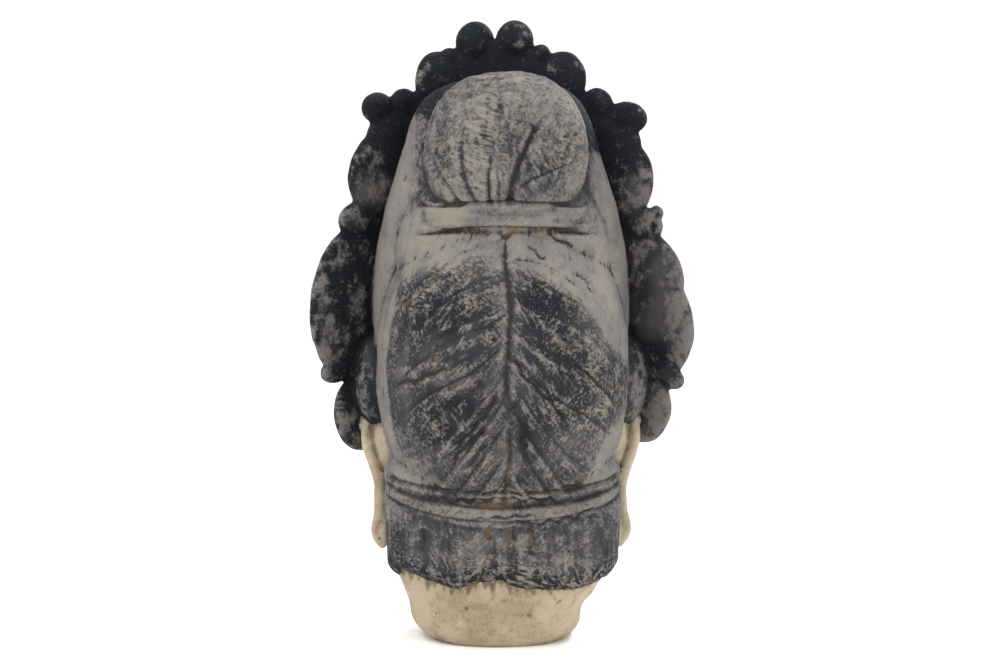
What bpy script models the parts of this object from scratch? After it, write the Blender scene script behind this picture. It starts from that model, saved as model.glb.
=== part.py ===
"""Crowned bodhisattva head, cast in one piece: neck, long-eared face, combed hair,
tied topknot and a high scalloped crown.

The face looks along -Y, +Z is up, and the head stands on the flat underside of its neck.
Every size below is in parts of the height: one part is a millimetre on the full-size head.
"""

import math

import bmesh
import bpy
import numpy as np
from mathutils import Euler, Matrix, Vector

# Driving dimension, in metres, and the parts that all the sizes below are counted in
TOTAL_HEIGHT = 0.448
PARTS_IN_HEIGHT = 448.0

# Casting grid, softening and number of facets
VOXEL = 1.9
SOFTENING_PASSES = 3
TRIANGLES = 9700
FACE_WEIGHT = 0.6
FACE_SHARE = 0.03
# The face is what lies in front of this depth, between these heights
FACE_FIELD = (-52.0, 58.0, 190.0)
# Taken off the foot of the casting, so that it stands on a flat cut
FOOT_CUT = 1.0

# Columns of a turned form: height, half width, depth to the front, depth to the back, squareness
NECK = (
    (0.0, 46.0, 36.0, 41.0, 2.3),
    (2.0, 50.5, 38.5, 43.5, 2.3),
    (8.0, 58.0, 42.0, 48.0, 2.3),
    (14.0, 61.5, 43.0, 50.0, 2.3),
    (25.0, 63.5, 44.0, 52.0, 2.3),
    (37.0, 70.0, 46.0, 56.0, 2.4),
    (48.0, 74.0, 48.0, 58.0, 2.4),
    (60.0, 70.0, 48.0, 56.0, 2.3),
    (120.0, 66.0, 50.0, 56.0, 2.3),
)
# The neck was cast a little fuller on the +X side: by how much, and at what height
NECK_BULGE = (1.5, 3.5, 20.0, 13.0)
NAPE_HAIR = (
    (40.0, 66.0, 0.0, 55.0, 2.6),
    (48.0, 79.0, 2.0, 62.0, 2.8),
    (56.0, 84.0, 4.0, 65.0, 3.0),
    (80.0, 85.0, 6.0, 64.0, 3.0),
    (102.0, 86.0, 6.0, 62.0, 2.8),
    (120.0, 84.0, 6.0, 64.0, 2.4),
    (142.0, 80.0, 6.0, 70.0, 2.1),
    (165.0, 76.0, 6.0, 70.0, 2.0),
)
# Lower edge of that hair, broken in the casting: distance across, and height
NAPE_EDGE = (
    (-86.0, 53.0),
    (-70.0, 49.0),
    (-51.0, 45.5),
    (-29.0, 47.0),
    (-8.0, 48.5),
    (3.0, 54.0),
    (21.0, 52.5),
    (35.0, 48.0),
    (53.0, 51.5),
    (84.0, 60.0),
)
NAPE_LEVEL = 48.0
FACE = (
    (55.0, 20.0, 68.0, -30.0, 2.0),
    (57.5, 34.0, 75.0, -10.0, 1.95),
    (61.0, 43.5, 79.0, 10.0, 1.95),
    (68.0, 52.5, 81.5, 30.0, 1.95),
    (78.0, 60.5, 82.5, 40.0, 2.0),
    (92.0, 67.5, 83.5, 50.0, 2.05),
    (112.0, 73.5, 85.5, 50.0, 2.15),
    (135.0, 76.5, 86.5, 50.0, 2.2),
    (160.0, 77.5, 87.5, 50.0, 2.25),
    (185.0, 78.0, 87.0, 50.0, 2.25),
    (210.0, 76.0, 83.0, 50.0, 2.2),
    (240.0, 70.0, 74.0, 50.0, 2.1),
    (270.0, 56.0, 56.0, 40.0, 2.0),
    (290.0, 24.0, 24.0, 20.0, 2.0),
)
# The jaw rises by this much from the chin to the ears, and by less the higher up
JAW_RISE = 34.0
JAW_FRONT = -78.0
JAW_TOP = 112.0
# Depth from which the features stand at their full relief
FEATURES_FULL = -35.0

# Facial features: distance from the middle line, and height above the base
BROW_INNER = 7.0
BROW_OUTER = 67.0
BROW_FOOT = 158.0
BROW_ARCH = 13.0
BROW_RELIEF = 3.2
# How far the brow fades downward and upward
BROW_FADE = (4.5, 11.0)
EYE_X = 33.0
EYE_Z = 147.0
EYE_HALF = 19.5
LID_HALF = 12.5
LID_RELIEF = 9.5
LID_STEP = 1.5
LID_CREASE = 1.3
SLIT_DROP = 4.6
SLIT_DEPTH = 1.6
SOCKET_DEPTH = 7.5
SOCKET_HALF = (29.0, 19.0)
NOSE_TOP = 162.0
NOSE_TIP = 117.0
NOSE_BASE = 108.5
NOSE_RELIEF = 20.0
NOSE_BRIDGE = 4.5
# Half width of the ridge of the nose, at its top and at its tip
NOSE_HALF = (7.0, 9.6)
# Wings of the nose: middle across and up, half width, half height, relief
NOSE_WING = (10.5, 113.0, 7.5, 7.0, 11.2)
MOUTH_Z = 89.0
MOUTH_HALF = 21.5
MOUTH_PARTING = 3.4
MOUTH_CORNER = 2.2
# Lips: middle across, and up from the mouth, half width, half height, relief
UPPER_LIP = (6.5, 3.6, 15.0, 5.6, 6.5)
LOWER_LIP = (4.5, -5.0, 13.5, 6.4, 6.8)
# Depth and half width of the groove over the upper lip
LIP_GROOVE = (1.5, 2.8)
# Fullness round the mouth: up from the mouth, relief, spread across and up
MUZZLE = (2.0, 4.0, 27.0, 17.0)
CHIN_Z = 65.0
CHIN_HALF = (21.0, 13.5)
CHIN_RELIEF = 6.0
# Hollow between lip and chin: up from the mouth, depth, spread across and up
CHIN_HOLLOW = (-13.5, 3.0, 15.0, 4.0)
CHEEK = (41.0, 114.0)
CHEEK_RELIEF = 4.2
CHEEK_SPREAD = 23.0
URNA_Z = 181.0
URNA_HALF = 4.6
URNA_RELIEF = 3.4

# Egg-shaped masses: centre, and half sizes
HAIR_MASS = ((0.0, 0.0, 207.0), (91.0, 98.0, 118.0))
# Depth of the hair mass to the front: it stays behind the forehead
HAIR_FRONT = 80.0
# Its lower half is fuller than an egg, for which this would be 2
HAIR_FULLNESS = 3.2
KNOT_SHOULDER = ((0.0, 0.0, 278.0), (78.0, 64.0, 74.0))
CROWN_WEB = ((89.0, -28.0, 185.0), (20.0, 27.0, 34.0))
# Topknot, in the columns of a turned form, and the place of its middle
TOPKNOT = (
    (313.0, 42.0, 40.0, 44.0, 2.1),
    (321.0, 50.0, 46.0, 50.0, 2.1),
    (335.0, 56.0, 52.0, 54.0, 2.05),
    (352.0, 58.5, 54.0, 55.0, 2.0),
    (372.0, 56.0, 53.0, 53.0, 2.0),
    (388.0, 49.0, 46.0, 46.5, 2.0),
    (400.0, 38.0, 36.0, 36.5, 2.0),
    (407.5, 25.0, 24.0, 24.0, 2.0),
    (410.5, 10.0, 10.0, 10.0, 2.0),
)
TOPKNOT_PLACE = (-1.5, 24.0)
# Cowl behind the crown wall, in the columns of a turned form, and how far it is set forward
COWL = (
    (150.0, 82.0, 50.0, 10.0, 2.2),
    (190.0, 91.0, 52.0, 44.0, 2.2),
    (243.0, 94.0, 54.0, 48.0, 2.2),
    (280.0, 91.0, 56.0, 48.0, 2.2),
    (310.0, 85.0, 58.0, 46.0, 2.2),
    (345.0, 74.0, 60.0, 40.0, 2.3),
    (375.0, 65.0, 58.0, 30.0, 2.4),
    (395.0, 52.0, 50.0, 20.0, 2.4),
    (403.0, 34.0, 44.0, 10.0, 2.4),
)
COWL_FORWARD = 22.0

# Crown wall: it follows a parabola round the brow and leans back as it rises
CROWN_FRONT = -90.0
CROWN_SWEEP = 95.0
CROWN_REACH = 138.0
CROWN_LEAN = 0.075
CROWN_FOOT = 225.0
CROWN_HALF_THICK = 7.5
# Height above the base and half width of the crown wall
CROWN_WALL = (
    (207.0, 62.0),
    (214.0, 84.0),
    (235.0, 104.0),
    (275.0, 107.0),
    (315.0, 100.0),
    (345.0, 94.0),
    (370.0, 87.0),
    (390.0, 68.0),
    (408.0, 49.0),
    (423.0, 30.0),
    (433.0, 17.0),
)
# Crown lobes on the +X side and then the -X side, as modelled by hand and so not quite alike:
# middle across and up, half width, half height, half thickness, lean in degrees
CROWN_LOBES = (
    (17.5, 432.5, 14.5, 15.5, 11.0, 0),
    (36.5, 421.0, 7.5, 7.5, 8.0, 0),
    (44.0, 403.0, 18.5, 23.0, 13.0, 10),
    (71.0, 389.0, 9.5, 9.5, 9.0, 0),
    (90.0, 384.0, 12.0, 11.5, 10.0, 0),
    (83.0, 362.0, 16.0, 22.0, 11.0, -15),
    (86.0, 337.0, 25.0, 34.0, 14.0, -12),
    (106.0, 303.0, 13.0, 13.0, 12.0, 0),
    (109.0, 243.0, 30.0, 56.0, 17.0, -4),
    (122.0, 193.0, 10.0, 9.0, 10.0, 0),
    (104.5, 159.0, 18.5, 28.5, 17.0, 8),
    (-12.5, 433.5, 14.0, 15.5, 11.0, 0),
    (-31.5, 424.0, 7.0, 7.0, 8.0, 0),
    (-46.0, 403.0, 18.5, 23.0, 13.0, -10),
    (-72.5, 388.0, 11.0, 11.0, 9.0, 0),
    (-93.0, 377.0, 14.0, 12.0, 10.0, -10),
    (-86.0, 358.0, 17.0, 22.0, 11.0, 10),
    (-86.5, 334.0, 24.5, 34.0, 14.0, 10),
    (-105.0, 299.0, 13.0, 13.0, 12.0, 0),
    (-113.5, 308.0, 5.0, 6.0, 6.0, 0),
    (-105.0, 262.0, 27.0, 34.0, 15.0, 14),
    (-109.5, 228.0, 29.0, 46.0, 17.0, 6),
    (-126.0, 187.0, 7.5, 8.0, 9.0, 0),
    (-107.5, 161.0, 17.5, 26.0, 17.0, -12),
)
# Spirals cut into the front of the crown: middle across and up, reach across and up
VOLUTES = (
    (17.5, 432.5, 13.5, 14.5),
    (45.0, 403.0, 17.5, 21.0),
    (90.0, 384.0, 11.0, 10.5),
    (86.0, 344.0, 23.0, 31.0),
    (106.0, 303.0, 12.0, 12.0),
    (109.0, 243.0, 29.0, 48.0),
    (104.0, 161.0, 16.0, 23.0),
)
VOLUTE_PITCH = 12.0
VOLUTE_DEPTH = 3.4
# Below this height, only what stands in front of the ears has spirals
BROW_TOP = 200.0

# Ears: middle and half sizes of the shell and of the hanging lobe, on the +X side
EAR_SHIFT = 0.5
EAR_SHELL = ((84.0, -26.0, 137.0), (11.5, 16.0, 34.0))
EAR_LOBE = ((86.5, -18.0, 91.5), (7.5, 12.0, 29.0))
EAR_RIM = (
    (86.0, -17.0, 64.0),
    (94.0, -13.0, 72.0),
    (89.0, -8.0, 92.0),
    (87.5, -8.0, 106.0),
    (92.0, -11.0, 122.0),
    (100.5, -18.0, 142.0),
    (97.0, -32.0, 170.0),
    (89.0, -44.0, 160.0),
    (86.0, -42.0, 134.0),
)
EAR_RIM_THICK = 4.0
# Middle across the side of the ear, half sizes, depth
EAR_HOLLOWS = (
    (-30.0, 142.0, 8.0, 16.0, 5.0),
    (-18.0, 89.0, 3.4, 17.0, 4.0),
)

# Hair over the brow, from the parting to the ear, on the +X side
HAIRLINE = (
    (0.0, -86.0, 208.0),
    (26.0, -83.0, 206.0),
    (49.0, -73.0, 197.0),
    (66.0, -56.0, 183.0),
    (77.0, -38.0, 169.0),
    (82.0, -26.0, 158.0),
)
HAIRLINE_THICK = 11.0
BAND_Z = (219.0, 241.0)
BAND_THICK = 3.4
BAND_BEAD = 6.4
BAND_BEAD_STEP = 14.5
BAND_HALF = 88.0
# How fast the band drops away from its middle
BAND_DROOP = 0.0016

# Medallion and lotus on the front of the crown, with scrolls beside them and leaves below.
# Half sizes across and up, then the half thickness
MEDALLION_Z = 330.0
MEDALLION_HALF = (23.0, 33.0)
MEDALLION_RIM = 4.0
MEDALLION_POINT = 0.18
JEWEL_SHARE = 0.62
JEWEL_THICK = 9.0
PETALS = 9
PETAL_SPREAD = 84.0
PETAL_REACH = (32.24, 17.68)
PETAL_HALF = (9.0, 18.0)
PETAL_THICK = 7.0
LOTUS_Z = 279.0
LEAF_Z = 253.0
LEAF_HALF = (6.6, 10.5)
LEAF_THICK = 4.5
LEAVES = 6
# Scrolls: middle across and up, reach, turns, which way round (1 opens upward)
SCROLLS = (
    (63.0, 284.0, 19.0, 1.6, 1.0),
    (50.0, 325.0, 15.0, 1.5, -1.0),
    (38.0, 364.0, 12.0, 1.4, 1.0),
)
SCROLL_THICK = 3.8
SCROLL_POINTS = 28
# How much of a scroll's reach is wound up at its heart
SCROLL_WOUND = 0.86
# Middle across and up, half width, half height, half thickness
CREST_JEWEL = (0.0, 391.0, 11.0, 16.0, 8.0)

# Band round the foot of the topknot
TIE_Z = 309.5
TIE_HALF = (60.0, 54.0)
TIE_PLACE = (0.0, 12.0)
TIE_HALF_HIGH = 9.5
# Grooves above and below it: height, droop to the sides, depth, width
TIE_GROOVES = ((319.5, 0.0010, 2.2, 1.8), (301.5, 0.0014, 3.0, 1.9))

# Fillet under the combed hair: it dips at the nape
FILLET = ((76.0, -8.0, 122.0), (76.0, 22.0, 112.0), (57.0, 50.0, 103.0), (0.0, 63.0, 100.0))
FILLET_THICK = 11.0

# Depths between which the carving behind fades in, and that in front
BEHIND = (5.0, 25.0)
IN_FRONT = (-8.0, -18.0)
# Carved lines in the hair behind: width and depth of a groove
PARTING = (3.2, 3.4)
PARTING_SWAY = 1.6
LOCK_TOP = 300.0
LOCK_SLOPE = (0.35, 0.0082)
LOCK_PITCH = 21.0
LOCK_DEPTH = 2.4
# Where the locks fade out and where they are whole: 1 is the outline of the hair mass
LOCK_FADE = (0.96, 0.70)
# Locks wander a little, and those of the -X side start this much further down
LOCK_WANDER = 0.2
LOCK_SHIFT = 0.45
# Folds gathered into the tie: foot across, then head across and up, bow, width, depth
KNOT_FOLDS = (
    (-1.0, -26.0, 380.0, 4.5, 2.5, 4.8),
    (5.0, 7.0, 344.0, 0.0, 1.4, 1.6),
    (12.0, 11.0, 355.0, 1.5, 1.8, 2.8),
    (22.0, 29.0, 374.0, 6.0, 2.0, 2.6),
    (34.0, 56.0, 366.0, 4.0, 2.4, 3.8),
    (-4.0, -52.0, 349.0, 15.0, 2.8, 1.8),
)
KNOT_FOLD_FOOT = 318.0
# Lines along the fillet: height at the nape, and how much they rise to the sides
FILLET_LINES = ((95.5, 0.0016), (107.5, 0.0012), (116.5, 0.0008))
FILLET_GROOVE = (1.9, 2.0)
# Depth of the upright flutes over the nape, and how closely they follow one another
NAPE_FLUTES = (0.6, 0.30)
# How far over the nape's edge and under the fillet the flutes begin, and where they are whole
FLUTE_FADE = ((2.0, 8.0), (9.0, 17.0))
# Waves in the hair over the brow: the same two, then the depth of its parting
BROW_WAVES = (1.7, 1.05, 2.5)
# Creases round the front of the neck: heights, then depth and half width
NECK_CREASES = (20.0, 36.0)
NECK_CREASE_CUT = (1.2, 2.0)
NECK_CREASE_SAG = 0.0022

SEGMENTS = 72
EGG_SEGMENTS = (36, 20)


def remove_everything():
    for obj in list(bpy.data.objects):
        bpy.data.objects.remove(obj, do_unlink=True)


def painted_plaster():
    """Cream plaster under a worn charcoal wash; the wash is the larger share of it."""
    material = bpy.data.materials.new("painted_plaster")
    material.use_nodes = True
    shader = material.node_tree.nodes["Principled BSDF"]
    shader.inputs["Base Color"].default_value = (0.33, 0.30, 0.27, 1.0)
    shader.inputs["Roughness"].default_value = 0.85
    shader.inputs["Metallic"].default_value = 0.0
    return material


# Small shapes of number


def smoothstep(low, high, value):
    t = np.clip((value - low) / (high - low), 0.0, 1.0)
    return t * t * (3.0 - 2.0 * t)


def hump(value, width):
    return np.exp(-((value / width) ** 2))


def cap(across, up, half_across, half_up, power=0.75):
    """A low cushion of height 1 that ends at an oval edge."""
    inside = 1.0 - (across / half_across) ** 2 - (up / half_up) ** 2
    return np.clip(inside, 0.0, None) ** power


def blended_max(first, second, softness):
    """The higher of two reliefs, with the corner between them filled."""
    mix = np.clip(0.5 + 0.5 * (first - second) / softness, 0.0, 1.0)
    return second + (first - second) * mix + softness * mix * (1.0 - mix)


def curve_through(stations, at):
    """Each further column of the stations, read at a height, along a curve that never overshoots."""
    table = np.asarray(stations, float)
    heights = table[:, 0]
    values = table[:, 1:]
    steps = np.diff(heights)[:, None]
    slopes = np.diff(values, axis=0) / steps
    tangents = np.zeros_like(values)
    same_way = slopes[:-1] * slopes[1:] > 0
    harmonic = 2.0 * slopes[:-1] * slopes[1:] / np.where(same_way, slopes[:-1] + slopes[1:], 1.0)
    tangents[1:-1] = np.where(same_way, harmonic, 0.0)
    tangents[0] = slopes[0]
    tangents[-1] = slopes[-1]
    at = np.clip(np.atleast_1d(at), heights[0], heights[-1])
    k = np.clip(np.searchsorted(heights, at, side="right") - 1, 0, len(heights) - 2)
    t = ((at - heights[k]) / steps[k, 0])[:, None]
    return (
        values[k] * (1.0 + 2.0 * t) * (1.0 - t) ** 2
        + tangents[k] * steps[k] * t * (1.0 - t) ** 2
        + values[k + 1] * t * t * (3.0 - 2.0 * t)
        + tangents[k + 1] * steps[k] * t * t * (t - 1.0)
    )


# Solids that the head is built up from


def loft(rows):
    """A closed skin over rows of points, each a ring, with a flat face at either end."""
    bm = bmesh.new()
    rings = [[bm.verts.new(point) for point in row] for row in rows]
    for lower, upper in zip(rings, rings[1:]):
        for i, corner in enumerate(lower):
            j = (i + 1) % len(lower)
            bm.faces.new((corner, lower[j], upper[j], upper[i]))
    bm.faces.new(list(reversed(rings[0])))
    bm.faces.new(rings[-1])
    return bm


def turned_form(stations, step, relief=None):
    """A form whose level sections are rounded, unlike to the front and to the back."""
    low, high = stations[0][0], stations[-1][0]
    count = max(3, int(round((high - low) / step)))
    heights = np.linspace(low, high, count + 1)
    columns = curve_through(stations, heights)
    angles = np.linspace(0.0, 2.0 * math.pi, SEGMENTS, endpoint=False)
    rows = []
    for z, (half, front, back, squareness) in zip(heights, columns):
        power = 2.0 / squareness
        across = half * np.sign(np.cos(angles)) * np.abs(np.cos(angles)) ** power
        along = np.sign(np.sin(angles)) * np.abs(np.sin(angles)) ** power
        along = np.where(along < 0, along * front, along * back)
        ring = np.stack([across, along, np.full(SEGMENTS, z)], axis=1)
        if relief is not None:
            ring = relief(ring)
        rows.append(ring)
    return loft(rows)


def egg(centre, radii, lean=0.0):
    """A sphere stretched to these half sizes; lean turns it in the X-Z plane, in degrees."""
    bm = bmesh.new()
    placed = (
        Matrix.Translation(Vector(centre))
        @ Euler((0.0, math.radians(lean), 0.0)).to_matrix().to_4x4()
        @ Matrix.Diagonal((*radii, 1.0))
    )
    bmesh.ops.create_uvsphere(
        bm, u_segments=EGG_SEGMENTS[0], v_segments=EGG_SEGMENTS[1], radius=1.0, matrix=placed
    )
    return bm


def tube(points, thick):
    """A round cord along a smooth curve through the points, thick being its half thickness."""
    curve = bpy.data.curves.new("tube", "CURVE")
    curve.dimensions = "3D"
    curve.bevel_depth = thick
    curve.bevel_resolution = 3
    curve.resolution_u = 6
    curve.use_fill_caps = True
    spline = curve.splines.new("NURBS")
    spline.points.add(len(points) - 1)
    for knot, point in zip(spline.points, points):
        knot.co = (*point, 1.0)
    spline.order_u = 3
    spline.use_endpoint_u = True
    holder = bpy.data.objects.new("tube", curve)
    bpy.context.scene.collection.objects.link(holder)
    graph = bpy.context.evaluated_depsgraph_get()
    mesh = bpy.data.meshes.new_from_object(holder.evaluated_get(graph))
    bpy.data.objects.remove(holder)
    bm = bmesh.new()
    bm.from_mesh(mesh)
    bmesh.ops.remove_doubles(bm, verts=bm.verts, dist=0.01)
    bpy.data.meshes.remove(mesh)
    return bm


def mirrored(points):
    return [(-x, y, z) for x, y, z in points]


# Face


def brow_line(across):
    """Height of the brow's edge, across from the middle line."""
    along = np.clip((across - BROW_INNER) / (BROW_OUTER - BROW_INNER), 0.0, 1.0)
    return BROW_FOOT + BROW_ARCH * np.sin(math.pi * along ** 0.85)


def eye_slit(across):
    """Height of the line where the lids meet: cast down, and rising to the outer corner."""
    along = (across - EYE_X) / EYE_HALF
    return EYE_Z - SLIT_DROP + 2.6 * along ** 2 + 0.9 * along


def nose_relief(across, z):
    down = np.clip((NOSE_TOP - z) / (NOSE_TOP - NOSE_TIP), 0.0, 1.0)
    under = smoothstep(NOSE_BASE - 1.5, NOSE_TIP - 3.0, z)
    above = smoothstep(NOSE_TOP + 14.0, NOSE_TOP - 8.0, z)
    height = (NOSE_BRIDGE + (NOSE_RELIEF - NOSE_BRIDGE) * down ** 1.15) * under * above
    width = NOSE_HALF[0] + (NOSE_HALF[1] - NOSE_HALF[0]) * down ** 2
    ridge = height * np.exp(-np.abs(across / width) ** 2.4)
    wing_x, wing_z, half_wide, half_high, relief = NOSE_WING
    wings = relief * cap(across - wing_x, z - wing_z, half_wide, half_high)
    return blended_max(ridge, wings, 3.0)


def lip(across, z, place):
    middle, up, half_wide, half_high, relief = place
    return relief * cap(across - middle, z - MOUTH_Z - up, half_wide, half_high)


def mouth_relief(across, z):
    upper = lip(across, z + 0.1 * across, UPPER_LIP)
    lips = blended_max(upper, lip(across, z, LOWER_LIP), 0.8)
    parting = MOUTH_Z - 0.4 + 2.4 * (across / MOUTH_HALF) ** 2 - 0.9 * hump(across, 4.0)
    within = smoothstep(MOUTH_HALF + 2.0, MOUTH_HALF - 5.0, across)
    lips = lips - MOUTH_PARTING * hump(z - parting, 1.5) * within
    corners = -MOUTH_CORNER * hump(across - MOUTH_HALF - 1.5, 3.5) * hump(z - MOUTH_Z - 2.2, 3.5)
    return lips + corners


def eye_relief(across, z):
    aside = across - EYE_X
    socket = -SOCKET_DEPTH * cap(aside + 1.0, z - EYE_Z - 5.0, *SOCKET_HALF, 1.0)
    ball = LID_RELIEF * cap(aside, z - EYE_Z, EYE_HALF + 2.0, LID_HALF + 2.0, 0.6)
    slit = eye_slit(across)
    on_lid = smoothstep(EYE_HALF + 2.5, EYE_HALF - 3.0, np.abs(aside))
    upper_lid = LID_STEP * smoothstep(slit - 0.7, slit + 0.7, z) * hump(z - slit, 11.0) * on_lid
    line = -SLIT_DEPTH * hump(z - slit + 0.9, 1.1) * on_lid
    crease_at = EYE_Z + LID_HALF + 0.5 - 7.0 * (aside / (EYE_HALF + 3.0)) ** 2
    over_eye = smoothstep(EYE_HALF + 4.0, EYE_HALF - 2.0, np.abs(aside))
    crease = -LID_CREASE * hump(z - crease_at, 1.6) * over_eye
    return socket + ball + upper_lid + line + crease


def brow_relief(across, z):
    edge = brow_line(across)
    fade_down, fade_up = BROW_FADE
    above = np.exp(-np.clip(z - edge, 0.0, None) / fade_up)
    below = smoothstep(edge - fade_down, edge, z)
    inner = smoothstep(BROW_INNER - 8.0, BROW_INNER + 6.0, across)
    outer = smoothstep(BROW_OUTER + 5.0, BROW_OUTER - 14.0, across)
    return BROW_RELIEF * np.where(z > edge, above, below) * inner * outer


def mouth_swell(across, z, place):
    """A soft swelling over or under the mouth."""
    up, relief, wide, high = place
    return relief * hump(across, wide) * hump(z - MOUTH_Z - up, high)


def chin_relief(across, z):
    ball = CHIN_RELIEF * cap(across, z - CHIN_Z, *CHIN_HALF, 1.0)
    around = mouth_swell(across, z, MUZZLE) - mouth_swell(across, z, CHIN_HOLLOW)
    deep, wide = LIP_GROOVE
    over_lip = smoothstep(MOUTH_Z + 4.5, MOUTH_Z + 9.0, z) * smoothstep(NOSE_BASE + 1.5, NOSE_BASE - 3.5, z)
    return ball + around - deep * hump(across, wide) * over_lip


def cheek_relief(across, z):
    middle, up = CHEEK
    return CHEEK_RELIEF * hump(across - middle, CHEEK_SPREAD) * hump(z - up, CHEEK_SPREAD)


def urna_relief(across, z):
    return URNA_RELIEF * cap(across, z - URNA_Z, URNA_HALF, URNA_HALF, 0.55)


def face_relief(x, z):
    """How far the features stand forward of the plain egg of the face."""
    across = np.abs(x)
    features = (eye_relief, brow_relief, chin_relief, cheek_relief, urna_relief, mouth_relief)
    relief = sum(feature(across, z) for feature in features)
    return blended_max(relief, nose_relief(across, z) + 0.35 * relief, 1.5)


def shaped_face(ring):
    """Features pushed forward on the front half, then the jaw raised towards the ears."""
    x, y, z = ring.T
    facing = smoothstep(0.0, FEATURES_FULL, y)
    y = y - face_relief(x, z) * facing
    rise = JAW_RISE * smoothstep(JAW_FRONT, 0.0, y) * smoothstep(JAW_TOP, FACE[0][0], z)
    return np.stack([x, y, z + rise], axis=1)


# Crown


def crown_sheet(x, z):
    """Depth of the middle of the crown wall."""
    return CROWN_FRONT + CROWN_SWEEP * (x / CROWN_REACH) ** 2 + CROWN_LEAN * (z - CROWN_FOOT)


def bend_to_crown(bm):
    """Carries a form modelled flat, about Y = 0, onto the crown wall."""
    for vert in bm.verts:
        vert.co.y += crown_sheet(vert.co.x, vert.co.z)
    return bm


def crown_wall():
    stations = [(z, half, CROWN_HALF_THICK, CROWN_HALF_THICK, 4.0) for z, half in CROWN_WALL]
    return bend_to_crown(turned_form(stations, 6.0))


def crown_lobes():
    return [
        bend_to_crown(egg((x, 0.0, z), (half_wide, thick, half_high), lean))
        for x, z, half_wide, half_high, thick, lean in CROWN_LOBES
    ]


def scroll(middle, up, reach, turns, hand, side):
    """A cord wound into a spiral on the front of the crown."""
    points = []
    for t in np.linspace(0.0, 1.0, SCROLL_POINTS):
        radius = reach * (1.0 - SCROLL_WOUND * t)
        angle = hand * (math.pi / 2.0 + 2.0 * math.pi * turns * t)
        x = side * (middle - radius * math.cos(angle))
        z = up - radius * math.sin(angle)
        points.append((x, crown_sheet(x, z) - CROWN_HALF_THICK - 0.5, z))
    return tube(points, SCROLL_THICK)


def crown_band():
    """Two cords with a row of beads between them, over the brow."""
    across = np.linspace(-BAND_HALF, BAND_HALF, 25)
    forms = []
    for z in BAND_Z:
        line = [(x, crown_sheet(x, z) - CROWN_HALF_THICK - 1.0, z - BAND_DROOP * x * x) for x in across]
        forms.append(tube(line, BAND_THICK))
    middle = sum(BAND_Z) / 2.0
    beads = int(BAND_HALF / BAND_BEAD_STEP)
    for i in range(-beads, beads + 1):
        x = i * BAND_BEAD_STEP
        z = middle - BAND_DROOP * x * x
        forms.append(egg((x, crown_sheet(x, z) - CROWN_HALF_THICK, z), (BAND_BEAD,) * 3))
    return forms


def front_egg(x, z, half, thick, lean=0.0):
    """An egg set on the front of the crown wall."""
    return bend_to_crown(egg((x, -CROWN_HALF_THICK, z), (half[0], thick, half[1]), lean))


def medallion_rim():
    """An oval rim that comes to a soft point at its top."""
    half_wide, half_high = MEDALLION_HALF
    rim = []
    for turn in np.linspace(0.0, 2.0 * math.pi, 25):
        x = half_wide * math.cos(turn)
        y = crown_sheet(x, MEDALLION_Z) - CROWN_HALF_THICK - 1.0
        point = 1.0 + MEDALLION_POINT * max(0.0, math.sin(turn)) ** 6
        rim.append((x, y, MEDALLION_Z + half_high * math.sin(turn) * point))
    return tube(rim, MEDALLION_RIM)


def crown_medallion():
    """A jewel in its rim, standing on a lotus with its petals spread."""
    half_wide, half_high = MEDALLION_HALF
    jewel_half = (half_wide * JEWEL_SHARE, half_high * JEWEL_SHARE)
    forms = [front_egg(0.0, MEDALLION_Z, jewel_half, JEWEL_THICK), medallion_rim()]
    for lean in np.linspace(-PETAL_SPREAD, PETAL_SPREAD, PETALS):
        x = PETAL_REACH[0] * math.sin(math.radians(lean))
        z = LOTUS_Z + PETAL_REACH[1] * math.cos(math.radians(lean))
        forms.append(front_egg(x, z, PETAL_HALF, PETAL_THICK, lean))
    for i in range(-LEAVES, LEAVES + 1):
        x = i * BAND_BEAD_STEP
        forms.append(front_egg(x, LEAF_Z - BAND_DROOP * x * x, LEAF_HALF, LEAF_THICK))
    x, z, half_wide, half_high, thick = CREST_JEWEL
    forms.append(front_egg(x, z, (half_wide, half_high), thick))
    for side in (1, -1):
        forms += [scroll(*place, side) for place in SCROLLS]
    return forms


# Hair, ears and ties


def ear(side):
    forms = []
    for centre, radii in (EAR_SHELL, EAR_LOBE):
        forms.append(egg((side * centre[0] + EAR_SHIFT, centre[1], centre[2]), radii))
    rim = [(side * x + EAR_SHIFT, y, z) for x, y, z in EAR_RIM]
    forms.append(tube(rim, EAR_RIM_THICK))
    return forms


def hair_mass():
    bm = egg(*HAIR_MASS)
    (_, _, middle), (_, depth, half_high) = HAIR_MASS
    for vert in bm.verts:
        down = min((middle - vert.co.z) / half_high, 0.999)
        if down > 0.0:
            fuller = math.sqrt((1.0 - down ** HAIR_FULLNESS) / (1.0 - down ** 2))
            vert.co.x *= fuller
            vert.co.y *= fuller
        if vert.co.y < 0.0:
            vert.co.y *= HAIR_FRONT / depth
    return bm


def brow_hair(side):
    return tube([(side * x, y, z) for x, y, z in HAIRLINE], HAIRLINE_THICK)


def fillet():
    half = list(FILLET)
    return tube(half + mirrored(half[-2::-1]), FILLET_THICK)


def knot_tie():
    stations = [
        (TIE_Z + TIE_HALF_HIGH * t, TIE_HALF[0] + swell, TIE_HALF[1] + swell, TIE_HALF[1] + swell, 2.3)
        for t, swell in ((-1.0, -3.0), (-0.7, 0.0), (0.7, 0.0), (1.0, -3.0))
    ]
    bm = turned_form(stations, 3.0)
    bmesh.ops.translate(bm, verts=bm.verts, vec=(*TIE_PLACE, 0.0))
    return bm


def topknot():
    bm = turned_form(TOPKNOT, 4.0)
    bmesh.ops.translate(bm, verts=bm.verts, vec=(*TOPKNOT_PLACE, 0.0))
    return bm


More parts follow.
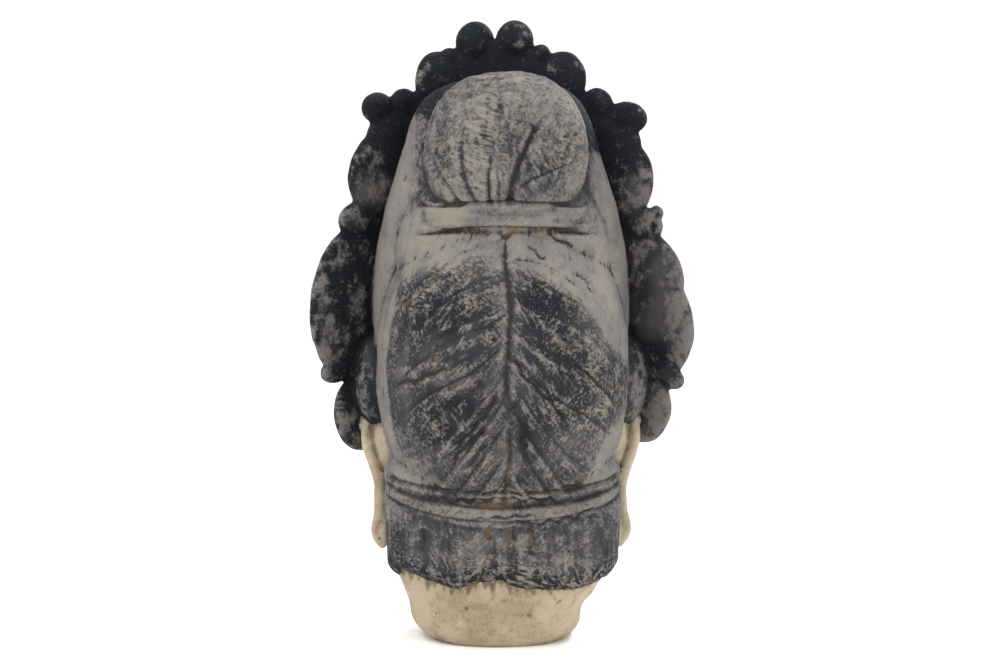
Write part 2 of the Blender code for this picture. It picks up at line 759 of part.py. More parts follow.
def cowl():
    bm = turned_form(COWL, 5.0)
    bmesh.ops.translate(bm, verts=bm.verts, vec=(0.0, -COWL_FORWARD, 0.0))
    return bm


def neck():
    bm = turned_form(NECK, 4.0)
    everywhere, more, height, spread = NECK_BULGE
    for vert in bm.verts:
        vert.co.x += everywhere + more * float(hump(vert.co.z - height, spread))
    return bm


def all_forms():
    forms = [
        neck(),
        turned_form(NAPE_HAIR, 4.0),
        turned_form(FACE, 1.6, shaped_face),
        hair_mass(),
        egg(*KNOT_SHOULDER),
        topknot(),
        cowl(),
        knot_tie(),
        fillet(),
        crown_wall(),
    ]
    for side in (1, -1):
        forms += ear(side)
        forms.append(brow_hair(side))
        middle, radii = CROWN_WEB
        forms.append(egg((side * middle[0], middle[1], middle[2]), radii))
    return forms + crown_lobes() + crown_band() + crown_medallion()


# Carving on the cast form


def over_mass(x, z):
    """How far out from the middle of the hair mass, seen from behind: 1 is its outline."""
    (_, _, middle), (half_wide, _, half_high) = HAIR_MASS
    up = np.abs(z - middle) / half_high
    return np.sqrt((x / half_wide) ** 2 + up ** np.where(z < middle, HAIR_FULLNESS, 2.0))


def near_mass(points, within):
    """1 on the skin of the hair mass behind, falling to 0 this far from it."""
    centre, radii = (np.array(v) for v in HAIR_MASS)
    x, y, z = np.abs((points - centre) / radii).T
    power = np.where(points[:, 2] < centre[2], HAIR_FULLNESS, 2.0)
    reach = np.sqrt(x * x + y * y + z ** power)
    return smoothstep(within, within * 0.4, np.abs(reach - 1.0) * radii.min())


def lock_number(x, z):
    """A number that stays the same along each combed lock as it falls away from the parting."""
    start, growth = LOCK_SLOPE
    return (z + (start + growth * LOCK_TOP) * np.abs(x)) / (1.0 + growth * np.abs(x))


def saw(value, sharp=0.22):
    """A repeating lap, 0 to 1: a slow rise and a quick drop."""
    phase = value - np.floor(value)
    return np.where(phase < 1.0 - sharp, phase / (1.0 - sharp), (1.0 - phase) / sharp)


def combed_hair(points):
    """Locks that lap over one another, falling away on both sides of the parting."""
    x, y, z = points.T
    under_tie = TIE_Z - TIE_HALF_HIGH
    over_fillet = FILLET[-1][2]
    on = near_mass(points, 5.0) * smoothstep(*BEHIND, y)
    on = on * smoothstep(under_tie - 4.0, under_tie - 16.0, z)
    on = on * smoothstep(over_fillet + 7.0, over_fillet + 17.0, z)
    fading = smoothstep(*LOCK_FADE, over_mass(x, z))
    number = lock_number(x, z) / LOCK_PITCH + np.where(x < 0, LOCK_SHIFT, 0.0)
    number = number + LOCK_WANDER * np.sin(np.abs(x) * 0.09 + z * 0.031)
    uneven = 0.8 + 0.35 * np.sin(np.floor(number) * 2.4)
    lap = LOCK_DEPTH * uneven * (saw(number) - 0.6)
    width, deep = PARTING
    line = PARTING_SWAY * np.sin(z * 0.07)
    parted = -deep * hump(x - line, width)
    edge = smoothstep(0.0, 6.0, np.abs(x - line))
    return on * (lap * edge * fading + parted)


def tie_grooves(points):
    x, y, z = points.T
    on = smoothstep(*BEHIND, y) * smoothstep(TIE_HALF[0] + 6.0, TIE_HALF[0] - 8.0, np.abs(x))
    total = np.zeros(len(x))
    for height, droop, deep, width in TIE_GROOVES:
        total -= deep * hump(z - height + droop * x * x, width)
    return on * total


def knot_folds(points):
    x, y, z = points.T
    on = smoothstep(*BEHIND, y) * smoothstep(KNOT_FOLD_FOOT - 2.0, KNOT_FOLD_FOOT + 2.0, z)
    total = np.zeros(len(x))
    for foot, head, top, bow, width, deep in KNOT_FOLDS:
        t = (z - KNOT_FOLD_FOOT) / (top - KNOT_FOLD_FOOT)
        line = foot + (head - foot) * t + bow * 4.0 * t * (1.0 - t)
        taper = np.clip(1.0 - t, 0.0, 1.0) ** 0.6
        total -= deep * taper * hump(x - line, width * (0.5 + 0.8 * taper))
    return on * total


def fillet_lines(points):
    x, y, z = points.T
    side_height, nape_height = FILLET[0][2], FILLET[-1][2]
    on = smoothstep(*BEHIND, y) * smoothstep(side_height + 12.0, side_height + 2.0, z)
    on = on * smoothstep(nape_height - 17.0, nape_height - 13.0, z)
    deep, width = FILLET_GROOVE
    total = np.zeros(len(x))
    for foot, bow in FILLET_LINES:
        total -= deep * hump(z - foot - bow * x * x, width)
    return on * total


def nape_flutes(points):
    """Shallow upright flutes in the hair over the nape."""
    x, y, z = points.T
    under_fillet = FILLET[-1][2]
    over_edge, under = FLUTE_FADE
    on = smoothstep(*BEHIND, y) * smoothstep(*over_edge, z - NAPE_LEVEL)
    on = on * smoothstep(*under, under_fillet - z)
    deep, close = NAPE_FLUTES
    return on * deep * (np.sin(x * close + 1.3 * np.sin(x * 0.11)) - 0.4)


def nape_drop(points):
    """How far the lower edge of that hair hangs below its level, or stops short of it."""
    x, y, z = points.T
    across, edge = np.array(NAPE_EDGE).T
    drop = np.interp(x, across, edge) - NAPE_LEVEL
    behind = smoothstep(*BEHIND, y)
    over_foot = smoothstep(NAPE_LEVEL - 10.0, NAPE_LEVEL - 2.0, z)
    return drop * behind * over_foot * smoothstep(NAPE_LEVEL + 30.0, NAPE_LEVEL + 8.0, z)


def volutes(points, normals):
    """Spirals cut into the front of the lobes; each point belongs to the nearest one."""
    x, y, z = points.T
    # Below the brow, only what stands in front of the ears is cut
    beside_ears = smoothstep(0.0, -10.0, y) * smoothstep(BROW_TOP + 5.0, BROW_TOP - 10.0, z)
    in_front = np.maximum(beside_ears, smoothstep(BROW_TOP - 4.0, BROW_TOP + 6.0, z))
    facing = smoothstep(0.1, 0.5, -normals[:, 1]) * in_front
    least = np.full(len(x), np.inf)
    total = np.zeros(len(x))
    for across, up, half_wide, half_high in VOLUTES:
        along = (np.abs(x) - across) / half_wide
        high = (z - up) / half_high
        reach = np.hypot(along, high)
        turn = np.arctan2(high, along)
        rounds = (half_wide + half_high) / (2.0 * VOLUTE_PITCH)
        spiral = 0.5 + 0.5 * np.cos(2.0 * math.pi * reach * rounds - turn)
        cut = -VOLUTE_DEPTH * spiral ** 1.5 * smoothstep(1.0, 0.85, reach)
        nearest = reach < least
        total = np.where(nearest, cut, total)
        least = np.minimum(least, reach)
    return facing * total


def ear_hollows(points, normals):
    x, y, z = points.T
    inner = EAR_SHELL[0][0]
    outer = EAR_LOBE[0][0] + EAR_LOBE[1][0]
    beside = np.abs(x - EAR_SHIFT)
    on_ear = smoothstep(inner - 4.0, inner, beside) * smoothstep(outer + 4.0, outer, beside)
    facing = smoothstep(0.3, 0.7, np.abs(normals[:, 0])) * on_ear
    total = np.zeros(len(x))
    for along, up, half_long, half_high, deep in EAR_HOLLOWS:
        total -= deep * cap(y - along, z - up, half_long, half_high, 0.6)
    return facing * total


def brow_strands(points):
    """Waves in the hair over the brow."""
    x, y, z = points.T
    under_band = BAND_Z[0]
    temple = HAIRLINE[-1][0]
    on = smoothstep(*IN_FRONT, y) * smoothstep(under_band - 2.0, under_band - 6.0, z)
    on = on * smoothstep(temple + 5.0, temple, np.abs(x))
    line = np.array(HAIRLINE)
    order = np.argsort(line[:, 0])
    height = np.interp(np.abs(x), line[order, 0], line[order, 2])
    depth = np.interp(np.abs(x), line[order, 0], line[order, 1])
    near = smoothstep(HAIRLINE_THICK + 2.5, HAIRLINE_THICK + 0.5, np.hypot(z - height, (y - depth) * 0.8))
    relief, close, parted = BROW_WAVES
    wave = np.sin((z - height) * close + 1.2 * np.sin(np.abs(x) * 0.16))
    return on * near * (relief * wave - 0.6 - parted * hump(x, 3.0))


def neck_creases(points):
    x, y, z = points.T
    deep, width = NECK_CREASE_CUT
    on = smoothstep(*IN_FRONT, y)
    return -deep * on * sum(hump(z - line - NECK_CREASE_SAG * x * x, width) for line in NECK_CREASES)


def carved(points, normals):
    lines = (combed_hair, tie_grooves, knot_folds, fillet_lines, nape_flutes, brow_strands, neck_creases)
    depth = sum(line(points) for line in lines)
    depth += volutes(points, normals) + ear_hollows(points, normals)
    base = smoothstep(0.0, 3.0, points[:, 2])
    points = points + normals * (depth * base)[:, None]
    points[:, 2] += nape_drop(points)
    return points


# Casting


def modified(obj, kind, **settings):
    """The object's mesh after one modifier, which is then removed."""
    modifier = obj.modifiers.new(kind.title(), kind)
    for name, value in settings.items():
        setattr(modifier, name, value)
    graph = bpy.context.evaluated_depsgraph_get()
    mesh = bpy.data.meshes.new_from_object(obj.evaluated_get(graph))
    obj.modifiers.clear()
    old = obj.data
    obj.data = mesh
    bpy.data.meshes.remove(old)


def read_vectors(collection, name):
    values = np.empty(len(collection) * 3, np.float64)
    collection.foreach_get(name, values)
    return values.reshape(-1, 3)


def solid_through(obj):
    """Only the outer skin is kept, so that the hollows left between forms are filled."""
    bm = bmesh.new()
    bm.from_mesh(obj.data)
    unseen = set(bm.verts)
    skins = []
    while unseen:
        start = unseen.pop()
        skin = [start]
        edge = [start]
        while edge:
            near = [e.other_vert(v) for v in edge for e in v.link_edges]
            edge = [v for v in set(near) if v in unseen]
            unseen.difference_update(edge)
            skin += edge
        skins.append(skin)
    skins.sort(key=len)
    inner = [vert for skin in skins[:-1] for vert in skin]
    bmesh.ops.delete(bm, geom=inner, context="VERTS")
    bm.to_mesh(obj.data)
    bm.free()


def joined_forms():
    """One mesh that holds every form, still overlapping."""
    joined = bpy.data.meshes.new("head")
    whole = bmesh.new()
    for form in all_forms():
        bmesh.ops.recalc_face_normals(form, faces=form.faces)
        piece = bpy.data.meshes.new("form")
        form.to_mesh(piece)
        form.free()
        whole.from_mesh(piece)
        bpy.data.meshes.remove(piece)
    whole.to_mesh(joined)
    whole.free()
    return joined


def cut_to_facets(obj):
    """Few facets, of which the face keeps more than its share."""
    points = read_vectors(obj.data.vertices, "co")
    face = (points[:, 1] < FACE_FIELD[0]) & (points[:, 2] > FACE_FIELD[1]) & (points[:, 2] < FACE_FIELD[2])
    group = obj.vertex_groups.new(name="elsewhere")
    group.add([int(i) for i in np.flatnonzero(~face)], 1.0, "REPLACE")
    group.add([int(i) for i in np.flatnonzero(face)], FACE_WEIGHT, "REPLACE")
    modified(
        obj,
        "DECIMATE",
        decimate_type="COLLAPSE",
        ratio=TRIANGLES / (2 * len(obj.data.polygons)),
        use_collapse_triangulate=True,
        vertex_group="elsewhere",
        vertex_group_factor=FACE_SHARE,
    )
    obj.vertex_groups.clear()


def stand_on_flat_cut(bm):
    """The foot is sawn off level and closed with one flat face, at the height of 0."""
    cut = bmesh.ops.bisect_plane(
        bm,
        geom=bm.verts[:] + bm.edges[:] + bm.faces[:],
        dist=1e-6,
        plane_co=(0.0, 0.0, FOOT_CUT),
        plane_no=(0.0, 0.0, 1.0),
        clear_inner=True,
    )
    rim = [item for item in cut["geom_cut"] if isinstance(item, bmesh.types.BMEdge)]
    bmesh.ops.contextual_create(bm, geom=rim)
    bmesh.ops.translate(bm, verts=bm.verts, vec=(0.0, 0.0, -FOOT_CUT))
    bmesh.ops.triangulate(bm, faces=bm.faces[:])
    bmesh.ops.recalc_face_normals(bm, faces=bm.faces[:])


def cast_head():
    """All the forms as one closed body, carved, and cut to facets."""
    head = bpy.data.objects.new("buddha_head", joined_forms())
    bpy.context.scene.collection.objects.link(head)
    modified(head, "REMESH", mode="VOXEL", voxel_size=VOXEL, adaptivity=0.0)
    solid_through(head)
    modified(head, "SMOOTH", factor=0.5, iterations=SOFTENING_PASSES)
    points = read_vectors(head.data.vertices, "co")
    normals = read_vectors(head.data.vertex_normals, "vector")
    head.data.vertices.foreach_set("co", carved(points, normals).astype(np.float32).ravel())
    head.data.update()
    cut_to_facets(head)
    bm = bmesh.new()
    bm.from_mesh(head.data)
    stand_on_flat_cut(bm)
    # Metres, with the origin under the middle of the box
    across = [vert.co.x for vert in bm.verts]
    along = [vert.co.y for vert in bm.verts]
    middle = Vector(((min(across) + max(across)) / 2.0, (min(along) + max(along)) / 2.0, 0.0))
    bmesh.ops.translate(bm, verts=bm.verts, vec=-middle)
    bmesh.ops.scale(bm, verts=bm.verts, vec=(TOTAL_HEIGHT / PARTS_IN_HEIGHT,) * 3)
    bm.to_mesh(head.data)
    bm.free()
    return head


def main():
    remove_everything()
    collection = bpy.data.collections.new("crowned_head")
    bpy.context.scene.collection.children.link(collection)
    head = cast_head()
    bpy.context.scene.collection.objects.unlink(head)
    collection.objects.link(head)
    head.data.materials.append(painted_plaster())


main()
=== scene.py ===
"""Crowned head cast in plaster, with combed hair, a tied topknot and worn charcoal paint.

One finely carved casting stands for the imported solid, and one material holds all its paint.
The forms are measured in parts of the height, as the solid is, and then fitted to its box.
The face looks along -Y, and +Z is up.
"""

import math

import bmesh
import bpy
import numpy as np
from mathutils import Euler, Matrix, Vector
from mathutils.bvhtree import BVHTree


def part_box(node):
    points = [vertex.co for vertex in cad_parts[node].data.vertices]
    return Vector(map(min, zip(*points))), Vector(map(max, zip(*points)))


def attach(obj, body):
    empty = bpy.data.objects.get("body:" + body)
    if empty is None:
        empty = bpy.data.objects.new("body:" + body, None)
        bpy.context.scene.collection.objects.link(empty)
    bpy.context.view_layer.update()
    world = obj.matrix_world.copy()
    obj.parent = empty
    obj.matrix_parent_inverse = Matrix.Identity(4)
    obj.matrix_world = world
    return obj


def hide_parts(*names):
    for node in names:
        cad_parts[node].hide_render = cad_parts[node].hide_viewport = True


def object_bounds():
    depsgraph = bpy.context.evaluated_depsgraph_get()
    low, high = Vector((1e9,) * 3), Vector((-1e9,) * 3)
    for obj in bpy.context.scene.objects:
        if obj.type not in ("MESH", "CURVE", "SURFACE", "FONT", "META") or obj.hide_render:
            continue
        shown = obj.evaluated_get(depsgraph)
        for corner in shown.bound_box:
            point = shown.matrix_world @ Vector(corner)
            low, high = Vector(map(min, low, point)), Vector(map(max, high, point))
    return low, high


bl_info = {
    "name": "Crowned Plaster Head",
    "version": (1, 0, 0),
    "blender": (4, 5, 0),
    "location": "View3D > Sidebar > Plaster Head",
    "description": "A crowned head cast in plaster, with combed hair, topknot and worn charcoal paint",
    "category": "Object",
}

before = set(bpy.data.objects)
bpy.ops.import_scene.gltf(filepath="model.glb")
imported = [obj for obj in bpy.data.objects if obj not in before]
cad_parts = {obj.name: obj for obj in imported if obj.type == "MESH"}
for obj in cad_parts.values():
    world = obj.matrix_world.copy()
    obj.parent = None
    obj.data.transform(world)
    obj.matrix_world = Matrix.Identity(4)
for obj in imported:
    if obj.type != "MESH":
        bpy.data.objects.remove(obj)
CAD_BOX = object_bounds()
SOLID = "buddha_head"


# Driving sizes: the parts that all the sizes below are counted in, and the sawn foot
PARTS_IN_HEIGHT = 448.0
FOOT_CUT = 1.0
# The carving fades out over this much of the foot
FOOT_PLAIN = 3.0
# Columns of a turned form: height, half width, depth to the front, depth to the back, squareness
NECK = (
    (0.0, 46.0, 36.0, 41.0, 2.3),
    (2.0, 50.5, 38.5, 43.5, 2.3),
    (8.0, 58.0, 42.0, 48.0, 2.3),
    (14.0, 61.5, 43.0, 50.0, 2.3),
    (25.0, 63.5, 44.0, 52.0, 2.3),
    (37.0, 70.0, 46.0, 56.0, 2.4),
    (48.0, 74.0, 48.0, 58.0, 2.4),
    (60.0, 70.0, 48.0, 56.0, 2.3),
    (120.0, 66.0, 50.0, 56.0, 2.3),
)
# The neck was cast a little fuller on the +X side: by how much, and at what height
NECK_BULGE = (1.5, 3.5, 20.0, 13.0)
NAPE_HAIR = (
    (40.0, 66.0, 0.0, 55.0, 2.6),
    (48.0, 79.0, 2.0, 62.0, 2.8),
    (56.0, 84.0, 4.0, 65.0, 3.0),
    (80.0, 85.0, 6.0, 64.0, 3.0),
    (102.0, 86.0, 6.0, 62.0, 2.8),
    (120.0, 84.0, 6.0, 64.0, 2.4),
    (142.0, 80.0, 6.0, 70.0, 2.1),
    (165.0, 76.0, 6.0, 70.0, 2.0),
)
# Lower edge of that hair, broken in the casting: distance across, and height
NAPE_EDGE = (
    (-86.0, 53.0),
    (-70.0, 49.0),
    (-51.0, 45.5),
    (-29.0, 47.0),
    (-8.0, 48.5),
    (3.0, 54.0),
    (21.0, 52.5),
    (35.0, 48.0),
    (53.0, 51.5),
    (84.0, 60.0),
)
NAPE_LEVEL = 48.0
FACE = (
    (55.0, 20.0, 68.0, -30.0, 2.0),
    (57.5, 34.0, 75.0, -10.0, 1.95),
    (61.0, 43.5, 79.0, 10.0, 1.95),
    (68.0, 52.5, 81.5, 30.0, 1.95),
    (78.0, 60.5, 82.5, 40.0, 2.0),
    (92.0, 67.5, 83.5, 50.0, 2.05),
    (112.0, 73.5, 85.5, 50.0, 2.15),
    (135.0, 76.5, 86.5, 50.0, 2.2),
    (160.0, 77.5, 87.5, 50.0, 2.25),
    (185.0, 78.0, 87.0, 50.0, 2.25),
    (210.0, 76.0, 83.0, 50.0, 2.2),
    (240.0, 70.0, 74.0, 50.0, 2.1),
    (270.0, 56.0, 56.0, 40.0, 2.0),
    (290.0, 24.0, 24.0, 20.0, 2.0),
)
# The jaw rises by this much from the chin to the ears, and by less the higher up
JAW_RISE = 34.0
JAW_FRONT = -78.0
JAW_TOP = 112.0
# Depth from which the features stand at their full relief
FEATURES_FULL = -35.0

# Facial features: distance from the middle line, and height above the base
BROW_INNER = 7.0
BROW_OUTER = 67.0
BROW_FOOT = 158.0
BROW_ARCH = 13.0
BROW_RELIEF = 3.2
# How far the brow fades downward and upward
BROW_FADE = (4.5, 11.0)
# Where it begins to show and where it is whole, from its inner and from its outer end
BROW_ENDS = ((-8.0, 6.0), (5.0, -14.0))
EYE_X = 33.0
EYE_Z = 147.0
EYE_HALF = 19.5
LID_HALF = 12.5
LID_RELIEF = 9.5
LID_STEP = 1.5
LID_CREASE = 1.3
SLIT_DROP = 4.6
SLIT_DEPTH = 1.6
# How much the slit rises to both ends and to the outer one, and how far it is cut below that
SLIT_RISE = (2.6, 0.9)
SLIT_UNDER = 0.9
# Crease over the lids: up from their top, drop to its ends, and how much wider than the eye
CREASE_PLACE = (0.5, 7.0, 3.0)
# Beyond the end of the eye: where its lines begin to show, and where they are whole
EYE_ENDS = (2.5, -3.0)
CREASE_ENDS = (4.0, -2.0)
SOCKET_DEPTH = 7.5
SOCKET_HALF = (29.0, 19.0)
NOSE_TOP = 162.0
NOSE_TIP = 117.0
NOSE_BASE = 108.5
NOSE_RELIEF = 20.0
NOSE_BRIDGE = 4.5
# Where the nose begins to show and is whole: at its base and tip, then over its top
NOSE_FOOT = (-1.5, -3.0)
NOSE_ROOT = (14.0, -8.0)
# Half width of the ridge of the nose, at its top and at its tip
NOSE_HALF = (7.0, 9.6)
# Wings of the nose: middle across and up, half width, half height, relief
NOSE_WING = (10.5, 113.0, 7.5, 7.0, 11.2)
MOUTH_Z = 89.0
MOUTH_HALF = 21.5
MOUTH_PARTING = 3.4
# Line between the lips: up from the mouth, rise to the corners, dip at its middle, half width
MOUTH_LINE = (-0.4, 2.4, 0.9, 4.0)
# Beyond the corners: where that line begins to show, and where it is whole
MOUTH_ENDS = (2.0, -5.0)
MOUTH_CORNER = 2.2
# Lips: middle across, and up from the mouth, half width, half height, relief
UPPER_LIP = (6.5, 3.6, 15.0, 5.6, 6.5)
LOWER_LIP = (4.5, -5.0, 13.5, 6.4, 6.8)
# Depth and half width of the groove over the upper lip
LIP_GROOVE = (1.5, 2.8)
# Fullness round the mouth: up from the mouth, relief, spread across and up
MUZZLE = (2.0, 4.0, 27.0, 17.0)
CHIN_Z = 65.0
CHIN_HALF = (21.0, 13.5)
CHIN_RELIEF = 6.0
# Hollow between lip and chin: up from the mouth, depth, spread across and up
CHIN_HOLLOW = (-13.5, 3.0, 15.0, 4.0)
CHEEK = (41.0, 114.0)
CHEEK_RELIEF = 4.2
CHEEK_SPREAD = 23.0
URNA_Z = 181.0
URNA_HALF = 4.6
URNA_RELIEF = 3.4

# Egg-shaped masses: centre, and half sizes
HAIR_MASS = ((0.0, 0.0, 207.0), (91.0, 98.0, 118.0))
# Depth of the hair mass to the front: it stays behind the forehead
HAIR_FRONT = 80.0
# Its lower half is fuller than an egg, for which this would be 2
HAIR_FULLNESS = 3.2
KNOT_SHOULDER = ((0.0, 0.0, 278.0), (78.0, 64.0, 74.0))
CROWN_WEB = ((89.0, -28.0, 185.0), (20.0, 27.0, 34.0))
# Topknot, in the columns of a turned form, and the place of its middle
TOPKNOT = (
    (313.0, 42.0, 40.0, 44.0, 2.1),
    (321.0, 50.0, 46.0, 50.0, 2.1),
    (335.0, 56.0, 52.0, 54.0, 2.05),
    (352.0, 58.5, 54.0, 55.0, 2.0),
    (372.0, 56.0, 53.0, 53.0, 2.0),
    (388.0, 49.0, 46.0, 46.5, 2.0),
    (400.0, 38.0, 36.0, 36.5, 2.0),
    (407.5, 25.0, 24.0, 24.0, 2.0),
    (410.5, 10.0, 10.0, 10.0, 2.0),
)
TOPKNOT_PLACE = (-1.5, 24.0)
# Cowl behind the crown wall, in the columns of a turned form, and how far it is set forward
COWL = (
    (150.0, 82.0, 50.0, 10.0, 2.2),
    (190.0, 91.0, 52.0, 44.0, 2.2),
    (243.0, 94.0, 54.0, 48.0, 2.2),
    (280.0, 91.0, 56.0, 48.0, 2.2),
    (310.0, 85.0, 58.0, 46.0, 2.2),
    (345.0, 74.0, 60.0, 40.0, 2.3),
    (375.0, 65.0, 58.0, 30.0, 2.4),
    (395.0, 52.0, 50.0, 20.0, 2.4),
    (403.0, 34.0, 44.0, 10.0, 2.4),
)
COWL_FORWARD = 22.0

# Crown wall: it follows a parabola round the brow and leans back as it rises
CROWN_FRONT = -90.0
CROWN_SWEEP = 95.0
CROWN_REACH = 138.0
CROWN_LEAN = 0.075
CROWN_FOOT = 225.0
CROWN_HALF_THICK = 7.5
CROWN_SQUARENESS = 4.0
# How far the middles of its cords and of its scrolls stand in front of the wall
CORDS_PROUD = 1.0
SCROLLS_PROUD = 0.5
# Height above the base and half width of the crown wall
CROWN_WALL = (
    (207.0, 62.0),
    (214.0, 84.0),
    (235.0, 104.0),
    (275.0, 107.0),
    (315.0, 100.0),
    (345.0, 94.0),
    (370.0, 87.0),
    (390.0, 68.0),
    (408.0, 49.0),
    (423.0, 30.0),
    (433.0, 17.0),
)
# Crown lobes on the +X side and then the -X side, as modelled by hand and so not quite alike:
# middle across and up, half width, half height, half thickness, lean in degrees
CROWN_LOBES = (
    (17.5, 432.5, 14.5, 15.5, 11.0, 0),
    (36.5, 421.0, 7.5, 7.5, 8.0, 0),
    (44.0, 403.0, 18.5, 23.0, 13.0, 10),
    (71.0, 389.0, 9.5, 9.5, 9.0, 0),
    (90.0, 384.0, 12.0, 11.5, 10.0, 0),
    (83.0, 362.0, 16.0, 22.0, 11.0, -15),
    (86.0, 337.0, 25.0, 34.0, 14.0, -12),
    (106.0, 303.0, 13.0, 13.0, 12.0, 0),
    (109.0, 243.0, 30.0, 56.0, 17.0, -4),
    (122.0, 193.0, 10.0, 9.0, 10.0, 0),
    (104.5, 159.0, 18.5, 28.5, 17.0, 8),
    (-12.5, 433.5, 14.0, 15.5, 11.0, 0),
    (-31.5, 424.0, 7.0, 7.0, 8.0, 0),
    (-46.0, 403.0, 18.5, 23.0, 13.0, -10),
    (-72.5, 388.0, 11.0, 11.0, 9.0, 0),
    (-93.0, 377.0, 14.0, 12.0, 10.0, -10),
    (-86.0, 358.0, 17.0, 22.0, 11.0, 10),
    (-86.5, 334.0, 24.5, 34.0, 14.0, 10),
    (-105.0, 299.0, 13.0, 13.0, 12.0, 0),
    (-113.5, 308.0, 5.0, 6.0, 6.0, 0),
    (-105.0, 262.0, 27.0, 34.0, 15.0, 14),
    (-109.5, 228.0, 29.0, 46.0, 17.0, 6),
    (-126.0, 187.0, 7.5, 8.0, 9.0, 0),
    (-107.5, 161.0, 17.5, 26.0, 17.0, -12),
)
# Spirals cut into the front of the crown: middle across and up, reach across and up
VOLUTES = (
    (17.5, 432.5, 13.5, 14.5),
    (45.0, 403.0, 17.5, 21.0),
    (90.0, 384.0, 11.0, 10.5),
    (86.0, 344.0, 23.0, 31.0),
    (106.0, 303.0, 12.0, 12.0),
    (109.0, 243.0, 29.0, 48.0),
    (104.0, 161.0, 16.0, 23.0),
)
VOLUTE_PITCH = 12.0
VOLUTE_DEPTH = 3.4
# Below this height, only what stands in front of the ears has spirals
BROW_TOP = 200.0

# Ears: middle and half sizes of the shell and of the hanging lobe, on the +X side
EAR_SHIFT = 0.5
EAR_SHELL = ((84.0, -26.0, 137.0), (11.5, 16.0, 34.0))
EAR_LOBE = ((86.5, -18.0, 91.5), (7.5, 12.0, 29.0))
EAR_RIM = (
    (86.0, -17.0, 64.0),
    (94.0, -13.0, 72.0),
    (89.0, -8.0, 92.0),
    (87.5, -8.0, 106.0),
    (92.0, -11.0, 122.0),
    (100.5, -18.0, 142.0),
    (97.0, -32.0, 170.0),
    (89.0, -44.0, 160.0),
    (86.0, -42.0, 134.0),
)
EAR_RIM_THICK = 4.0
# Middle across the side of the ear, half sizes, depth
EAR_HOLLOWS = (
    (-30.0, 142.0, 8.0, 16.0, 5.0),
    (-18.0, 89.0, 3.4, 17.0, 4.0),
)

# Hair over the brow, from the parting to the ear, on the +X side
HAIRLINE = (
    (0.0, -86.0, 208.0),
    (26.0, -83.0, 206.0),
    (49.0, -73.0, 197.0),
    (66.0, -56.0, 183.0),
    (77.0, -38.0, 169.0),
    (82.0, -26.0, 158.0),
)
HAIRLINE_THICK = 11.0
BAND_Z = (219.0, 241.0)
BAND_THICK = 3.4
BAND_BEAD = 6.4
BAND_BEAD_STEP = 14.5
BAND_HALF = 88.0
# How fast the band drops away from its middle
BAND_DROOP = 0.0016

# Medallion and lotus on the front of the crown, with scrolls beside them and leaves below.
# Half sizes across and up, then the half thickness
MEDALLION_Z = 330.0
MEDALLION_HALF = (23.0, 33.0)
MEDALLION_RIM = 4.0
MEDALLION_POINT = 0.18
JEWEL_SHARE = 0.62
JEWEL_THICK = 9.0
PETALS = 9
PETAL_SPREAD = 84.0
PETAL_REACH = (32.24, 17.68)
PETAL_HALF = (9.0, 18.0)
PETAL_THICK = 7.0
LOTUS_Z = 279.0
LEAF_Z = 253.0
LEAF_HALF = (6.6, 10.5)
LEAF_THICK = 4.5
LEAVES = 6
# Scrolls: middle across and up, reach, turns, which way round (1 opens upward)
SCROLLS = (
    (63.0, 284.0, 19.0, 1.6, 1.0),
    (50.0, 325.0, 15.0, 1.5, -1.0),
    (38.0, 364.0, 12.0, 1.4, 1.0),
)
SCROLL_THICK = 3.8
SCROLL_POINTS = 28
# How much of a scroll's reach is wound up at its heart
SCROLL_WOUND = 0.86
# Middle across and up, half width, half height, half thickness
CREST_JEWEL = (0.0, 391.0, 11.0, 16.0, 8.0)

# Band round the foot of the topknot
TIE_Z = 309.5
TIE_HALF = (60.0, 54.0)
TIE_PLACE = (0.0, 12.0)
TIE_HALF_HIGH = 9.5
# Its section: share of its half height, and how much fuller it is there
TIE_SECTION = ((-1.0, -3.0), (-0.7, 0.0), (0.7, 0.0), (1.0, -3.0))
TIE_SQUARENESS = 2.3
# Beyond its half width: where its grooves begin to show, and where they are whole
TIE_ENDS = (6.0, -8.0)
# Grooves above and below it: height, droop to the sides, depth, width
TIE_GROOVES = ((319.5, 0.0010, 2.2, 1.8), (301.5, 0.0014, 3.0, 1.9))

# Fillet under the combed hair: it dips at the nape
FILLET = ((76.0, -8.0, 122.0), (76.0, 22.0, 112.0), (57.0, 50.0, 103.0), (0.0, 63.0, 100.0))
FILLET_THICK = 11.0

# Depths between which the carving behind fades in, and that in front
BEHIND = (5.0, 25.0)
IN_FRONT = (-8.0, -18.0)
# Parting down the hair behind: width and depth of its groove
PARTING = (3.2, 3.4)
# How far it sways and how close its waves are. The locks flatten this near to it
PARTING_SWAY = (1.6, 0.07)
PARTING_EDGE = 6.0
LOCK_TOP = 300.0
LOCK_SLOPE = (0.35, 0.0082)
LOCK_PITCH = 21.0
LOCK_DEPTH = 2.4
# Where the locks fade out and where they are whole: 1 is the outline of the hair mass
LOCK_FADE = (0.96, 0.70)
# How near the skin of the hair mass a place has to be: where locks begin, and are whole
LOCKS_NEAR = (5.0, 2.0)
# Where they begin and are whole under the tie, and over the fillet
LOCK_ENDS = ((-4.0, -16.0), (7.0, 17.0))
# Share of a lock that its lap drops over, and the level between proud and cut
LAP_DROP = 0.22
LAP_LEVEL = 0.6
# Share of that depth that a lock mostly has, how much more or less, and how that comes and goes
LOCK_UNEVEN = (0.8, 0.35, 2.4)
# Locks wander a little, in waves this close across and up the head,
# and those of the -X side start this much further down
LOCK_WAVES = (0.09, 0.031)
LOCK_WANDER = 0.2
LOCK_SHIFT = 0.45
